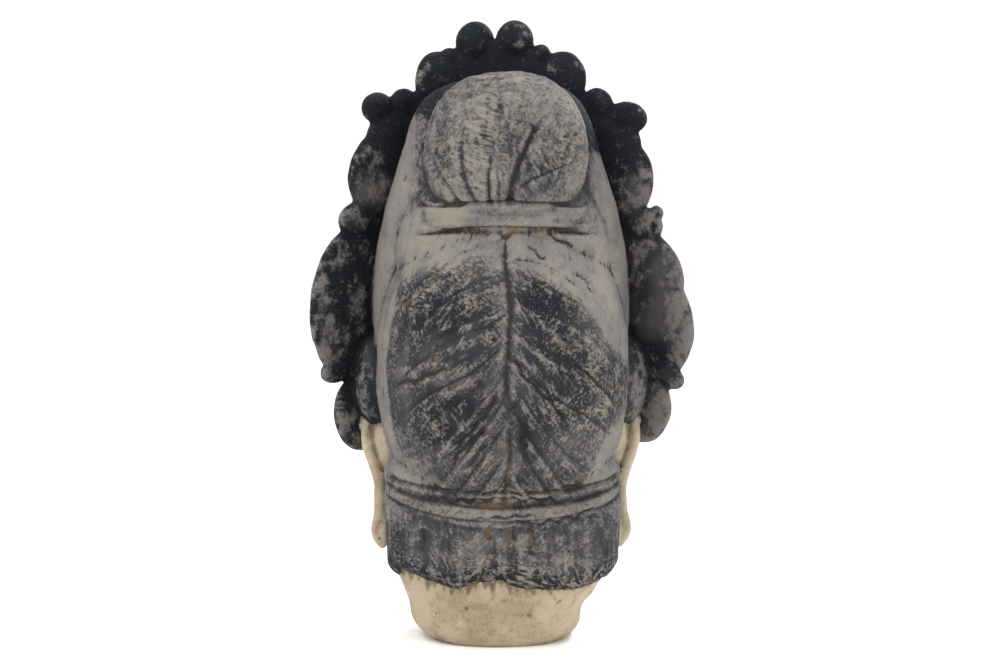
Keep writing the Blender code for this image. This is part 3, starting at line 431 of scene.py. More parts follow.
# Folds gathered into the tie: foot across, then head across and up, bow, width, depth
KNOT_FOLDS = (
    (-1.0, -26.0, 380.0, 4.5, 2.5, 4.8),
    (5.0, 7.0, 344.0, 0.0, 1.4, 1.6),
    (12.0, 11.0, 355.0, 1.5, 1.8, 2.8),
    (22.0, 29.0, 374.0, 6.0, 2.0, 2.6),
    (34.0, 56.0, 366.0, 4.0, 2.4, 3.8),
    (-4.0, -52.0, 349.0, 15.0, 2.8, 1.8),
)
KNOT_FOLD_FOOT = 318.0
# How fast a fold tapers, then the least share of its width and how much its foot adds
FOLD_TAPER = (0.6, 0.5, 0.8)
# Lines along the fillet: height at the nape, and how much they rise to the sides
FILLET_LINES = ((95.5, 0.0016), (107.5, 0.0012), (116.5, 0.0008))
FILLET_GROOVE = (1.9, 2.0)
# Where they begin and are whole: from the fillet's height at the side, and at the nape
FILLET_ENDS = ((12.0, 2.0), (-17.0, -13.0))
# Depth of the upright flutes over the nape, and how closely they follow one another
NAPE_FLUTES = (0.6, 0.30)
# How far over the nape's edge and under the fillet the flutes begin, and where they are whole
FLUTE_FADE = ((2.0, 8.0), (9.0, 17.0))
# How much they sway and how close their sway is, and the level between proud and cut
FLUTE_SWAY = (1.3, 0.11)
FLUTE_LEVEL = 0.4
# Round the level of the nape's edge: where its drop begins and is whole, below and above
DROP_SPAN = ((-10.0, -2.0), (30.0, 8.0))
# Waves in the hair over the brow: depth, how close they are, and the depth of its parting
BROW_WAVES = (1.7, 1.05, 2.5)
# Creases round the front of the neck: heights, then depth and half width
NECK_CREASES = (20.0, 36.0)
NECK_CREASE_CUT = (1.2, 2.0)
NECK_CREASE_SAG = 0.0022

# How finely the forms are made: corners round them, and the height of a step in a turned one
SEGMENTS = 72
EGG_SEGMENTS = (36, 20)
CORD_POINTS = 25
FACE_STEP = 1.6
FORM_STEP = 4.0
COWL_STEP = 5.0
WALL_STEP = 6.0
TIE_STEP = 3.0


# Marks that the modelling tool left behind: half width, depth (a ridge where it is negative),
# and the course of the mark, across and up
TOOL_MARKS = (
    (1.6, 2.2, ((-20, 374), (-17, 367), (-14, 360))),
    (1.1, 0.8, ((17, 400), (9, 405), (-3, 407))),
    (1.5, 2.0, ((-27, 299), (-38, 294), (-48, 288))),
    (4.2, 2.8, ((0, 300), (1, 291), (1, 283))),
    (2.6, -1.4, ((10, 296), (31, 287), (66, 272), (78, 254))),
    (1.8, 1.2, ((12, 293), (40, 283), (60, 272))),
    (2.4, -1.2, ((-5, 291), (-27, 279), (-50, 264), (-64, 246))),
    (1.6, 1.6, ((-14, 290), (-29, 281))),
    (1.5, 1.4, ((-49, 273), (-63, 256))),
    (3.4, -1.6, ((12, 217), (24, 210), (42, 202))),
    (3.6, -2.2, ((41, 213), (59, 207), (79, 198))),
    (2.0, 2.0, ((42, 208), (65, 197), (79, 192))),
    (3.2, -1.9, ((13, 207), (29, 196), (51, 186))),
    (3.6, 1.8, ((17, 200), (29, 187), (47, 179))),
    (2.6, -2.4, ((9, 200), (19, 182), (36, 162), (45, 147), (47, 134))),
    (2.2, 2.2, ((8, 192), (15, 178), (29, 161), (40, 145))),
    (1.8, 2.0, ((12, 166), (24, 160), (35, 146), (42, 134))),
    (2.0, 1.6, ((13, 162), (21, 147), (35, 132))),
    (1.6, 2.4, ((2, 221), (-5, 211), (-15, 198), (-29, 185), (-46, 162))),
    (3.2, -1.9, ((-3, 222), (-15, 208), (-33, 190), (-48, 173))),
    (3.4, -1.5, ((-5, 234), (-18, 221), (-30, 206), (-45, 196))),
    (4.5, 2.6, ((-3, 188), (-8, 168), (-13, 152))),
    (2.8, -1.6, ((1, 188), (-2, 162), (-12, 140))),
    (3.0, -1.7, ((-9, 194), (-23, 181), (-36, 163), (-50, 150))),
    (3.2, -1.4, ((-3, 249), (-23, 239), (-46, 212))),
    (2.6, 1.4, ((8, 250), (30, 240), (62, 218))),
    (1.2, 1.6, ((25, 98), (-3, 100), (-20, 102))),
    (1.3, 1.8, ((-3, 98), (-17, 93), (-51, 97), (-66, 106))),
    (1.2, 1.4, ((60, 114), (38, 111), (-1, 112), (-47, 111))),
    (1.8, 1.3, ((13, 94), (13, 82))),
    (1.8, 1.1, ((-4, 93), (-4, 81))),
    (2.2, 1.5, ((-17, 94), (-17, 68))),
    (3.4, 1.3, ((58, 90), (61, 72))),
    (2.4, 1.0, ((-42, 90), (-44, 70))),
)
# Bubbles in the plaster, behind: across, up, half size, depth
BUBBLES = (
    (28, 32, 2.2, 1.3),
    (-17, 25, 2.4, 1.2),
    (33, 15, 1.8, 1.0),
    (2, 37, 1.5, 0.9),
    (-35, 38, 1.5, 0.8),
    (49, 214, 2.6, 2.6),
    (10, 228, 1.6, 1.2),
)
# Share of a tool mark that it fades out over at its start, and at its end
MARK_ENDS = ((-0.02, 0.16), (1.02, 0.8))
# Depths between which these marks and bubbles fade in
MARKED_BEHIND = (10.0, 30.0)
# The face: where it begins and is whole in depth, up from the chin, and down from the hair
FACE_SPAN = ((-40.0, -58.0), (56.0, 70.0), (204.0, 196.0))
# Share of the unevenness that was smoothed off the face
FACE_SMOOTHED = 0.8
# Slow unevenness of a hand-worked surface: how close its waves are, and how high
LUMPS = ((0.105, 0.55), (0.23, 0.3))
# How far down the lip of the nape hair its paint reaches
LIP_PAINTED = 2.5
# Undercut below the broken edge of the nape hair: drop below the edge, half width, depth
EDGE_UNDERCUT = (3.0, 2.4, 2.2)
# The broken edge wanders by this much
EDGE_RAGGED = 1.6
# Chips out of the crown: how many, least and greatest half size, depth as a share of it
CHIPS = (60, 1.2, 3.4, 0.32)
CHIP_SEED = 11
# They lie above this height, and this far out from a place on the middle line at this height
CHIPPED = (140.0, 250.0, 98.0)
CHIP_STRETCH = (1.0, 1.0, 1.4)

# Where the paint behind is darker or paler than its surroundings: middle across and up,
# half sizes, and by how much (0 is pale dust and 1 is bare charcoal)
PATCHES = (
    (42.0, 238.0, 30.0, 26.0, 0.16),
    (-26.0, 252.0, 20.0, 18.0, 0.22),
    (-44.0, 200.0, 22.0, 30.0, 0.10),
    (52.0, 168.0, 16.0, 16.0, 0.16),
    (-9.0, 160.0, 8.0, 18.0, 0.24),
    (28.0, 180.0, 12.0, 7.0, 0.16),
    (-1.0, 196.0, 9.0, 26.0, -0.30),
    (1.0, 246.0, 7.0, 30.0, -0.22),
    (-3.0, 150.0, 6.0, 22.0, -0.18),
    (50.0, 200.0, 22.0, 5.0, -0.26),
    (0.0, 284.0, 22.0, 14.0, -0.22),
    (62.0, 140.0, 12.0, 10.0, -0.28),
    (-64.0, 236.0, 10.0, 26.0, -0.24),
    (-58.0, 146.0, 18.0, 12.0, -0.24),
    (40.0, 137.0, 8.0, 12.0, -0.18),
    (6.0, 372.0, 16.0, 14.0, 0.16),
    (-20.0, 346.0, 14.0, 16.0, 0.14),
    (-44.0, 362.0, 12.0, 16.0, 0.12),
    (40.0, 358.0, 12.0, 18.0, 0.10),
)
# Where the combed hair is washed dark: distance across, then its foot and head there
WASH = (
    (-92.0, 204.0, 196.0),
    (-87.0, 166.0, 206.0),
    (-72.0, 158.0, 222.0),
    (-63.0, 134.0, 237.0),
    (-48.0, 112.0, 256.0),
    (-6.0, 100.0, 281.0),
    (18.0, 100.0, 284.0),
    (46.0, 124.0, 277.0),
    (62.0, 132.0, 270.0),
    (74.0, 138.0, 262.0),
    (80.0, 156.0, 236.0),
    (85.0, 206.0, 200.0),
)
# How far in from that outline the wash begins, below 0 outside it, and where it is whole
WASH_EDGE = (-5.0, 7.0)
# Height of the black recess over the topknot, and how it slants across
RECESS = (366.0, 0.22)
# Where it begins and is whole: up from that line, and forward from the topknot
RECESS_EDGE = ((-5.0, 9.0), (22.0, 12.0))
# How much darker the foot of the nape hair is and between which heights, and then its two
# sides: how much, between which distances across, and between which heights
NAPE_FOOT_DARK = (0.35, (66.0, 52.0))
NAPE_SIDES_DARK = (0.2, (60.0, 76.0), (100.0, 84.0))
# How much more that foot is scratched, and between which heights
NAPE_FOOT_GRAIN = (0.6, (74.0, 56.0))
# Hair over the brow: its tone, and where it begins and is whole in depth and in height
BROW_TONE = (0.8, (-30.0, -50.0), (222.0, 216.0))
# Edges of the fillet's hair: up from the fillet at the nape, and their rise to the sides
FILLET_HEAD = (15.0, 0.0008)
FILLET_FOOT = (-8.0, 0.0016)
# How far beyond the half width of the tie its hair reaches, and that of the topknot
TIE_REACH = 6.0
KNOT_REACH = 2.0
# Where earth has caught, and where the paint is scratched and flecked more than round it
EARTHY = (
    (-1.0, 127.0, 2.6, 14.0, 0.7),
    (1.0, 289.0, 4.0, 5.0, 0.3),
    (49.0, 214.0, 3.0, 3.5, 0.8),
    (12.0, 108.5, 20.0, 2.2, 0.7),
    (-36.0, 109.0, 16.0, 2.0, 0.3),
    (13.0, 88.0, 2.6, 6.0, 0.8),
    (-3.0, 87.0, 2.6, 6.0, 0.7),
    (-17.0, 84.0, 2.6, 9.0, 0.6),
    (56.0, 130.0, 12.0, 9.0, 0.35),
    (30.0, 140.0, 8.0, 8.0, 0.3),
    (0.0, 300.0, 44.0, 2.2, 0.6),
)
GRAINY = ((-42.0, 172.0, 30.0, 34.0, 0.35),)
# Tone of each stretch of the hair: mass, topknot, tie, shoulder, fillet and nape.
# Then how strongly each is scratched and flecked, and the same for the crown
KIND_TONES = (0.88, 0.78, 0.38, 0.05, 0.64, 0.74)
KIND_GRAINS = (0.85, 0.70, 0.45, 0.45, 0.65, 0.75)
CROWN_GRAIN = 0.35
# Tone behind the crown: at its top, to its sides, and by how much its -X side is paler
CROWN_TONES = (1.80, 1.15, 0.28)
# Between which heights it turns from the first to the second, and the -X side pales
CROWN_GREYS = (400.0, 318.0)
CROWN_PALES = (380.0, 250.0)
# Between which distances across its paler side begins
PALER_ACROSS = (10.0, -10.0)
# Where the crown's back is paler or darker than that
CROWN_PATCHES = (
    (90.0, 324.0, 20.0, 14.0, -0.50),
    (108.0, 302.0, 9.0, 9.0, -0.25),
    (92.0, 352.0, 9.0, 16.0, -0.35),
    (126.0, 222.0, 9.0, 34.0, -0.30),
    (98.0, 205.0, 9.0, 24.0, -0.25),
    (-98.0, 330.0, 10.0, 22.0, -0.30),
    (-126.0, 250.0, 9.0, 34.0, -0.25),
    (-112.0, 205.0, 14.0, 12.0, 0.30),
    (-112.0, 166.0, 9.0, 14.0, -0.25),
)
# How dark the painted shade is in the lines and hollows of the face: slit of the eyes,
# crease over the lids, nostrils, mouth, hollow under the brows and hollow under the lip
FACE_SHADE_LINES = (0.95, 0.5, 0.9, 0.95, 0.32, 0.35)
# Share by which the dirt and painted shade in the face's hollows, and its wear, are lessened
FACE_EASING = 0.5
# Relief of the drawn hairs
STRAND_RELIEF = 0.22
# They begin over the nape's edge between these heights
STRANDS_FOOT = (50.0, 60.0)
# Drawn hairs round the head: how far in front the middle is that they turn about, and its
# distance to them; then those fanned out up the topknot: height of their middle, and distance
ROUND_HEAD = (20.0, 75.0)
KNOT_FAN = (268.0, 62.0)
# How far those of the combed hair wander
HAIRS_WANDER = 3.0
# Numbers that keep the bundles apart: from one stretch to the next, and from side to side
BUNDLES_APART = (40.0, 15.0)
# The crown is painted from this far in front of the middle of its wall
CROWN_BARE = 1.0
# Passes that the surface is smoothed by to find what stands proud of it: narrowly, and broadly
PROUD_PASSES = (4, 40)
# What counts as fully proud, or fully sunk, for each of these
PROUD_FULL = (0.35, 1.6)
# Room left between the casting and the box of the solid
BOX_ROOM = 0.0001


# Curves that shape and blend numbers


def smoothstep(low, high, value):
    t = np.clip((value - low) / (high - low), 0.0, 1.0)
    return t * t * (3.0 - 2.0 * t)


def hump(value, width):
    return np.exp(-((value / width) ** 2))


def cap(across, up, half_across, half_up, power=0.75):
    """A low cushion of height 1 that ends at an oval edge."""
    inside = 1.0 - (across / half_across) ** 2 - (up / half_up) ** 2
    return np.clip(inside, 0.0, None) ** power


def blended_max(first, second, softness):
    """The higher of two reliefs, with the corner between them filled."""
    mix = np.clip(0.5 + 0.5 * (first - second) / softness, 0.0, 1.0)
    return second + (first - second) * mix + softness * mix * (1.0 - mix)


def curve_through(stations, at):
    """Each further column of the stations, read at a height, along a curve that never overshoots."""
    table = np.asarray(stations, float)
    heights = table[:, 0]
    values = table[:, 1:]
    steps = np.diff(heights)[:, None]
    slopes = np.diff(values, axis=0) / steps
    tangents = np.zeros_like(values)
    same_way = slopes[:-1] * slopes[1:] > 0
    harmonic = 2.0 * slopes[:-1] * slopes[1:] / np.where(same_way, slopes[:-1] + slopes[1:], 1.0)
    tangents[1:-1] = np.where(same_way, harmonic, 0.0)
    tangents[0] = slopes[0]
    tangents[-1] = slopes[-1]
    at = np.clip(np.atleast_1d(at), heights[0], heights[-1])
    k = np.clip(np.searchsorted(heights, at, side="right") - 1, 0, len(heights) - 2)
    t = ((at - heights[k]) / steps[k, 0])[:, None]
    return (
        values[k] * (1.0 + 2.0 * t) * (1.0 - t) ** 2
        + tangents[k] * steps[k] * t * (1.0 - t) ** 2
        + values[k + 1] * t * t * (3.0 - 2.0 * t)
        + tangents[k + 1] * steps[k] * t * t * (t - 1.0)
    )


# Solids that the head is built up from


def loft(rows):
    """A closed skin over rows of points, each a ring, with a flat face at either end."""
    bm = bmesh.new()
    rings = [[bm.verts.new(point) for point in row] for row in rows]
    for lower, upper in zip(rings, rings[1:]):
        for i, corner in enumerate(lower):
            j = (i + 1) % len(lower)
            bm.faces.new((corner, lower[j], upper[j], upper[i]))
    bm.faces.new(list(reversed(rings[0])))
    bm.faces.new(rings[-1])
    return bm


def turned_form(stations, step, relief=None):
    """A form whose level sections are rounded, unlike to the front and to the back."""
    low, high = stations[0][0], stations[-1][0]
    count = max(3, int(round((high - low) / step)))
    heights = np.linspace(low, high, count + 1)
    columns = curve_through(stations, heights)
    angles = np.linspace(0.0, 2.0 * math.pi, SEGMENTS, endpoint=False)
    rows = []
    for z, (half, front, back, squareness) in zip(heights, columns):
        power = 2.0 / squareness
        across = half * np.sign(np.cos(angles)) * np.abs(np.cos(angles)) ** power
        along = np.sign(np.sin(angles)) * np.abs(np.sin(angles)) ** power
        along = np.where(along < 0, along * front, along * back)
        ring = np.stack([across, along, np.full(SEGMENTS, z)], axis=1)
        if relief is not None:
            ring = relief(ring)
        rows.append(ring)
    return loft(rows)


def egg(centre, radii, lean=0.0):
    """A sphere stretched to these half sizes; lean turns it in the X-Z plane, in degrees."""
    bm = bmesh.new()
    placed = (
        Matrix.Translation(Vector(centre))
        @ Euler((0.0, math.radians(lean), 0.0)).to_matrix().to_4x4()
        @ Matrix.Diagonal((*radii, 1.0))
    )
    bmesh.ops.create_uvsphere(
        bm, u_segments=EGG_SEGMENTS[0], v_segments=EGG_SEGMENTS[1], radius=1.0, matrix=placed
    )
    return bm


def tube(points, thick):
    """A round cord along a smooth curve through the points, thick being its half thickness."""
    curve = bpy.data.curves.new("tube", "CURVE")
    curve.dimensions = "3D"
    curve.bevel_depth = thick
    curve.bevel_resolution = 3
    curve.resolution_u = 6
    curve.use_fill_caps = True
    spline = curve.splines.new("NURBS")
    spline.points.add(len(points) - 1)
    for knot, point in zip(spline.points, points):
        knot.co = (*point, 1.0)
    spline.order_u = 3
    spline.use_endpoint_u = True
    holder = bpy.data.objects.new("tube", curve)
    bpy.context.scene.collection.objects.link(holder)
    graph = bpy.context.evaluated_depsgraph_get()
    mesh = bpy.data.meshes.new_from_object(holder.evaluated_get(graph))
    bpy.data.objects.remove(holder)
    bm = bmesh.new()
    bm.from_mesh(mesh)
    bmesh.ops.remove_doubles(bm, verts=bm.verts, dist=0.01)
    bpy.data.meshes.remove(mesh)
    return bm


def mirrored(points):
    return [(-x, y, z) for x, y, z in points]


# Face


def brow_line(across):
    """Height of the brow's edge, across from the middle line."""
    along = np.clip((across - BROW_INNER) / (BROW_OUTER - BROW_INNER), 0.0, 1.0)
    return BROW_FOOT + BROW_ARCH * np.sin(math.pi * along ** 0.85)


def eye_slit(across):
    """Height of the line where the lids meet: cast down, and rising to the outer corner."""
    both, outer = SLIT_RISE
    along = (across - EYE_X) / EYE_HALF
    return EYE_Z - SLIT_DROP + both * along ** 2 + outer * along


def lid_crease(across):
    """Height of the crease over the lids."""
    up, drop, wider = CREASE_PLACE
    return EYE_Z + LID_HALF + up - drop * ((across - EYE_X) / (EYE_HALF + wider)) ** 2


def over_eye(across, ends):
    """1 over the width of the eye, fading out at its ends."""
    showing, whole = ends
    return smoothstep(EYE_HALF + showing, EYE_HALF + whole, np.abs(across - EYE_X))


def nose_relief(across, z):
    down = np.clip((NOSE_TOP - z) / (NOSE_TOP - NOSE_TIP), 0.0, 1.0)
    under = smoothstep(NOSE_BASE + NOSE_FOOT[0], NOSE_TIP + NOSE_FOOT[1], z)
    above = smoothstep(NOSE_TOP + NOSE_ROOT[0], NOSE_TOP + NOSE_ROOT[1], z)
    height = (NOSE_BRIDGE + (NOSE_RELIEF - NOSE_BRIDGE) * down ** 1.15) * under * above
    width = NOSE_HALF[0] + (NOSE_HALF[1] - NOSE_HALF[0]) * down ** 2
    ridge = height * np.exp(-np.abs(across / width) ** 2.4)
    wing_x, wing_z, half_wide, half_high, relief = NOSE_WING
    wings = relief * cap(across - wing_x, z - wing_z, half_wide, half_high)
    return blended_max(ridge, wings, 3.0)


def lip(across, z, place):
    middle, up, half_wide, half_high, relief = place
    return relief * cap(across - middle, z - MOUTH_Z - up, half_wide, half_high)


def mouth_line(across):
    """Height of the line between the lips, and how whole it is there."""
    up, rise, dip, half = MOUTH_LINE
    height = MOUTH_Z + up + rise * (across / MOUTH_HALF) ** 2 - dip * hump(across, half)
    showing, whole = MOUTH_ENDS
    return height, smoothstep(MOUTH_HALF + showing, MOUTH_HALF + whole, across)


def mouth_relief(across, z):
    upper = lip(across, z + 0.1 * across, UPPER_LIP)
    lips = blended_max(upper, lip(across, z, LOWER_LIP), 0.8)
    parting, within = mouth_line(across)
    lips = lips - MOUTH_PARTING * hump(z - parting, 1.5) * within
    corners = -MOUTH_CORNER * hump(across - MOUTH_HALF - 1.5, 3.5) * hump(z - MOUTH_Z - 2.2, 3.5)
    return lips + corners


def eye_relief(across, z):
    aside = across - EYE_X
    socket = -SOCKET_DEPTH * cap(aside + 1.0, z - EYE_Z - 5.0, *SOCKET_HALF, 1.0)
    ball = LID_RELIEF * cap(aside, z - EYE_Z, EYE_HALF + 2.0, LID_HALF + 2.0, 0.6)
    slit = eye_slit(across)
    on_lid = over_eye(across, EYE_ENDS)
    upper_lid = LID_STEP * smoothstep(slit - 0.7, slit + 0.7, z) * hump(z - slit, 11.0) * on_lid
    line = -SLIT_DEPTH * hump(z - slit + SLIT_UNDER, 1.1) * on_lid
    crease = -LID_CREASE * hump(z - lid_crease(across), 1.6) * over_eye(across, CREASE_ENDS)
    return socket + ball + upper_lid + line + crease


def brow_relief(across, z):
    edge = brow_line(across)
    fade_down, fade_up = BROW_FADE
    above = np.exp(-np.clip(z - edge, 0.0, None) / fade_up)
    below = smoothstep(edge - fade_down, edge, z)
    inner_end, outer_end = BROW_ENDS
    inner = smoothstep(BROW_INNER + inner_end[0], BROW_INNER + inner_end[1], across)
    outer = smoothstep(BROW_OUTER + outer_end[0], BROW_OUTER + outer_end[1], across)
    return BROW_RELIEF * np.where(z > edge, above, below) * inner * outer


def mouth_swell(across, z, place):
    """A soft swelling over or under the mouth."""
    up, relief, wide, high = place
    return relief * hump(across, wide) * hump(z - MOUTH_Z - up, high)


def chin_relief(across, z):
    ball = CHIN_RELIEF * cap(across, z - CHIN_Z, *CHIN_HALF, 1.0)
    around = mouth_swell(across, z, MUZZLE) - mouth_swell(across, z, CHIN_HOLLOW)
    deep, wide = LIP_GROOVE
    under_nose = smoothstep(NOSE_BASE + 1.5, NOSE_BASE - 3.5, z)
    over_lip = smoothstep(MOUTH_Z + 4.5, MOUTH_Z + 9.0, z) * under_nose
    return ball + around - deep * hump(across, wide) * over_lip


def cheek_relief(across, z):
    middle, up = CHEEK
    return CHEEK_RELIEF * hump(across - middle, CHEEK_SPREAD) * hump(z - up, CHEEK_SPREAD)


def urna_relief(across, z):
    return URNA_RELIEF * cap(across, z - URNA_Z, URNA_HALF, URNA_HALF, 0.55)


def face_relief(x, z):
    """How far the features stand forward of the plain egg of the face."""
    across = np.abs(x)
    features = (eye_relief, brow_relief, chin_relief, cheek_relief, urna_relief, mouth_relief)
    relief = sum(feature(across, z) for feature in features)
    return blended_max(relief, nose_relief(across, z) + 0.35 * relief, 1.5)


def shaped_face(ring):
    """Features pushed forward on the front half, then the jaw raised towards the ears."""
    x, y, z = ring.T
    facing = smoothstep(0.0, FEATURES_FULL, y)
    y = y - face_relief(x, z) * facing
    rise = JAW_RISE * smoothstep(JAW_FRONT, 0.0, y) * smoothstep(JAW_TOP, FACE[0][0], z)
    return np.stack([x, y, z + rise], axis=1)


# Crown


def crown_sheet(x, z):
    """Depth of the middle of the crown wall."""
    return CROWN_FRONT + CROWN_SWEEP * (x / CROWN_REACH) ** 2 + CROWN_LEAN * (z - CROWN_FOOT)


def bend_to_crown(bm):
    """Carries a form modelled flat, about Y = 0, onto the crown wall."""
    for vert in bm.verts:
        vert.co.y += crown_sheet(vert.co.x, vert.co.z)
    return bm


def crown_wall():
    section = (CROWN_HALF_THICK, CROWN_HALF_THICK, CROWN_SQUARENESS)
    stations = [(z, half, *section) for z, half in CROWN_WALL]
    return bend_to_crown(turned_form(stations, WALL_STEP))


def crown_lobes():
    return [
        bend_to_crown(egg((x, 0.0, z), (half_wide, thick, half_high), lean))
        for x, z, half_wide, half_high, thick, lean in CROWN_LOBES
    ]


def scroll(middle, up, reach, turns, hand, side):
    """A cord wound into a spiral on the front of the crown."""
    points = []
    for t in np.linspace(0.0, 1.0, SCROLL_POINTS):
        radius = reach * (1.0 - SCROLL_WOUND * t)
        angle = hand * (math.pi / 2.0 + 2.0 * math.pi * turns * t)
        x = side * (middle - radius * math.cos(angle))
        z = up - radius * math.sin(angle)
        points.append((x, crown_sheet(x, z) - CROWN_HALF_THICK - SCROLLS_PROUD, z))
    return tube(points, SCROLL_THICK)


def crown_band():
    """Two cords with a row of beads between them, over the brow."""
    across = np.linspace(-BAND_HALF, BAND_HALF, CORD_POINTS)
    forms = []
    for z in BAND_Z:
        line = []
        for x in across:
            y = crown_sheet(x, z) - CROWN_HALF_THICK - CORDS_PROUD
            line.append((x, y, z - BAND_DROOP * x * x))
        forms.append(tube(line, BAND_THICK))
    middle = sum(BAND_Z) / 2.0
    beads = int(BAND_HALF / BAND_BEAD_STEP)
    for i in range(-beads, beads + 1):
        x = i * BAND_BEAD_STEP
        z = middle - BAND_DROOP * x * x
        forms.append(egg((x, crown_sheet(x, z) - CROWN_HALF_THICK, z), (BAND_BEAD,) * 3))
    return forms


def front_egg(x, z, half, thick, lean=0.0):
    """An egg set on the front of the crown wall."""
    return bend_to_crown(egg((x, -CROWN_HALF_THICK, z), (half[0], thick, half[1]), lean))


def medallion_rim():
    """An oval rim that comes to a soft point at its top."""
    half_wide, half_high = MEDALLION_HALF
    rim = []
    for turn in np.linspace(0.0, 2.0 * math.pi, CORD_POINTS):
        x = half_wide * math.cos(turn)
        y = crown_sheet(x, MEDALLION_Z) - CROWN_HALF_THICK - CORDS_PROUD
        point = 1.0 + MEDALLION_POINT * max(0.0, math.sin(turn)) ** 6
        rim.append((x, y, MEDALLION_Z + half_high * math.sin(turn) * point))
    return tube(rim, MEDALLION_RIM)


def crown_medallion():
    """A jewel in its rim, standing on a lotus with its petals spread."""
    half_wide, half_high = MEDALLION_HALF
    jewel_half = (half_wide * JEWEL_SHARE, half_high * JEWEL_SHARE)
    forms = [front_egg(0.0, MEDALLION_Z, jewel_half, JEWEL_THICK), medallion_rim()]
    for lean in np.linspace(-PETAL_SPREAD, PETAL_SPREAD, PETALS):
        x = PETAL_REACH[0] * math.sin(math.radians(lean))
        z = LOTUS_Z + PETAL_REACH[1] * math.cos(math.radians(lean))
        forms.append(front_egg(x, z, PETAL_HALF, PETAL_THICK, lean))
    for i in range(-LEAVES, LEAVES + 1):
        x = i * BAND_BEAD_STEP
        forms.append(front_egg(x, LEAF_Z - BAND_DROOP * x * x, LEAF_HALF, LEAF_THICK))
    x, z, half_wide, half_high, thick = CREST_JEWEL
    forms.append(front_egg(x, z, (half_wide, half_high), thick))
    for side in (1, -1):
        forms += [scroll(*place, side) for place in SCROLLS]
    return forms


# Hair, ears and ties


def ear(side):
    forms = []
    for centre, radii in (EAR_SHELL, EAR_LOBE):
        forms.append(egg((side * centre[0] + EAR_SHIFT, centre[1], centre[2]), radii))
    rim = [(side * x + EAR_SHIFT, y, z) for x, y, z in EAR_RIM]
    forms.append(tube(rim, EAR_RIM_THICK))
    return forms


def hair_mass():
    bm = egg(*HAIR_MASS)
    (_, _, middle), (_, depth, half_high) = HAIR_MASS
    for vert in bm.verts:
        down = min((middle - vert.co.z) / half_high, 0.999)
        if down > 0.0:
            fuller = math.sqrt((1.0 - down ** HAIR_FULLNESS) / (1.0 - down ** 2))
            vert.co.x *= fuller
            vert.co.y *= fuller
        if vert.co.y < 0.0:
            vert.co.y *= HAIR_FRONT / depth
    return bm


def brow_hair(side):
    return tube([(side * x, y, z) for x, y, z in HAIRLINE], HAIRLINE_THICK)


def fillet():
    half = list(FILLET)
    return tube(half + mirrored(half[-2::-1]), FILLET_THICK)


def knot_tie():
    wide, deep = TIE_HALF
    stations = [
        (TIE_Z + TIE_HALF_HIGH * t, wide + more, deep + more, deep + more, TIE_SQUARENESS)
        for t, more in TIE_SECTION
    ]
    bm = turned_form(stations, TIE_STEP)
    bmesh.ops.translate(bm, verts=bm.verts, vec=(*TIE_PLACE, 0.0))
    return bm


def topknot():
    bm = turned_form(TOPKNOT, FORM_STEP)
    bmesh.ops.translate(bm, verts=bm.verts, vec=(*TOPKNOT_PLACE, 0.0))
    return bm


def cowl():
    bm = turned_form(COWL, COWL_STEP)
    bmesh.ops.translate(bm, verts=bm.verts, vec=(0.0, -COWL_FORWARD, 0.0))
    return bm


def neck():
    bm = turned_form(NECK, FORM_STEP)
    everywhere, more, height, spread = NECK_BULGE
    for vert in bm.verts:
        vert.co.x += everywhere + more * float(hump(vert.co.z - height, spread))
    return bm


def skin_forms():
    return [neck(), turned_form(FACE, FACE_STEP, shaped_face)] + ear(1) + ear(-1)


def hair_forms():
    masses = [hair_mass(), egg(*KNOT_SHOULDER), topknot(), cowl()]
    ties = [knot_tie(), fillet(), brow_hair(1), brow_hair(-1)]
    return [turned_form(NAPE_HAIR, FORM_STEP)] + masses + ties


def crown_forms():
    (x, y, z), radii = CROWN_WEB
    webs = [egg((x, y, z), radii), egg((-x, y, z), radii)]
    return [crown_wall()] + webs + crown_lobes() + crown_band() + crown_medallion()


# Carving on the cast form


def over_mass(x, z):
    """How far out from the middle of the hair mass, seen from behind: 1 is its outline."""
    (_, _, middle), (half_wide, _, half_high) = HAIR_MASS
    up = np.abs(z - middle) / half_high
    return np.sqrt((x / half_wide) ** 2 + up ** np.where(z < middle, HAIR_FULLNESS, 2.0))


def near_mass(points):
    """1 on the skin of the hair mass behind, falling to 0 away from it."""
    centre, radii = (np.array(v) for v in HAIR_MASS)
    x, y, z = np.abs((points - centre) / radii).T
    power = np.where(points[:, 2] < centre[2], HAIR_FULLNESS, 2.0)
    reach = np.sqrt(x * x + y * y + z ** power)
    return smoothstep(*LOCKS_NEAR, np.abs(reach - 1.0) * radii.min())


def lock_number(x, z):
    """A number that stays the same along each combed lock as it falls away from the parting."""
    start, growth = LOCK_SLOPE
    return (z + (start + growth * LOCK_TOP) * np.abs(x)) / (1.0 + growth * np.abs(x))


def lap(value):
    """A repeating lap, 0 to 1: a slow rise and a quick drop."""
    phase = value - np.floor(value)
    rise = 1.0 - LAP_DROP
    return np.where(phase < rise, phase / rise, (1.0 - phase) / LAP_DROP)


def wander(x, z):
    """How the locks and their hairs sway from side to side."""
    across, up = LOCK_WAVES
    return np.sin(np.abs(x) * across + z * up)


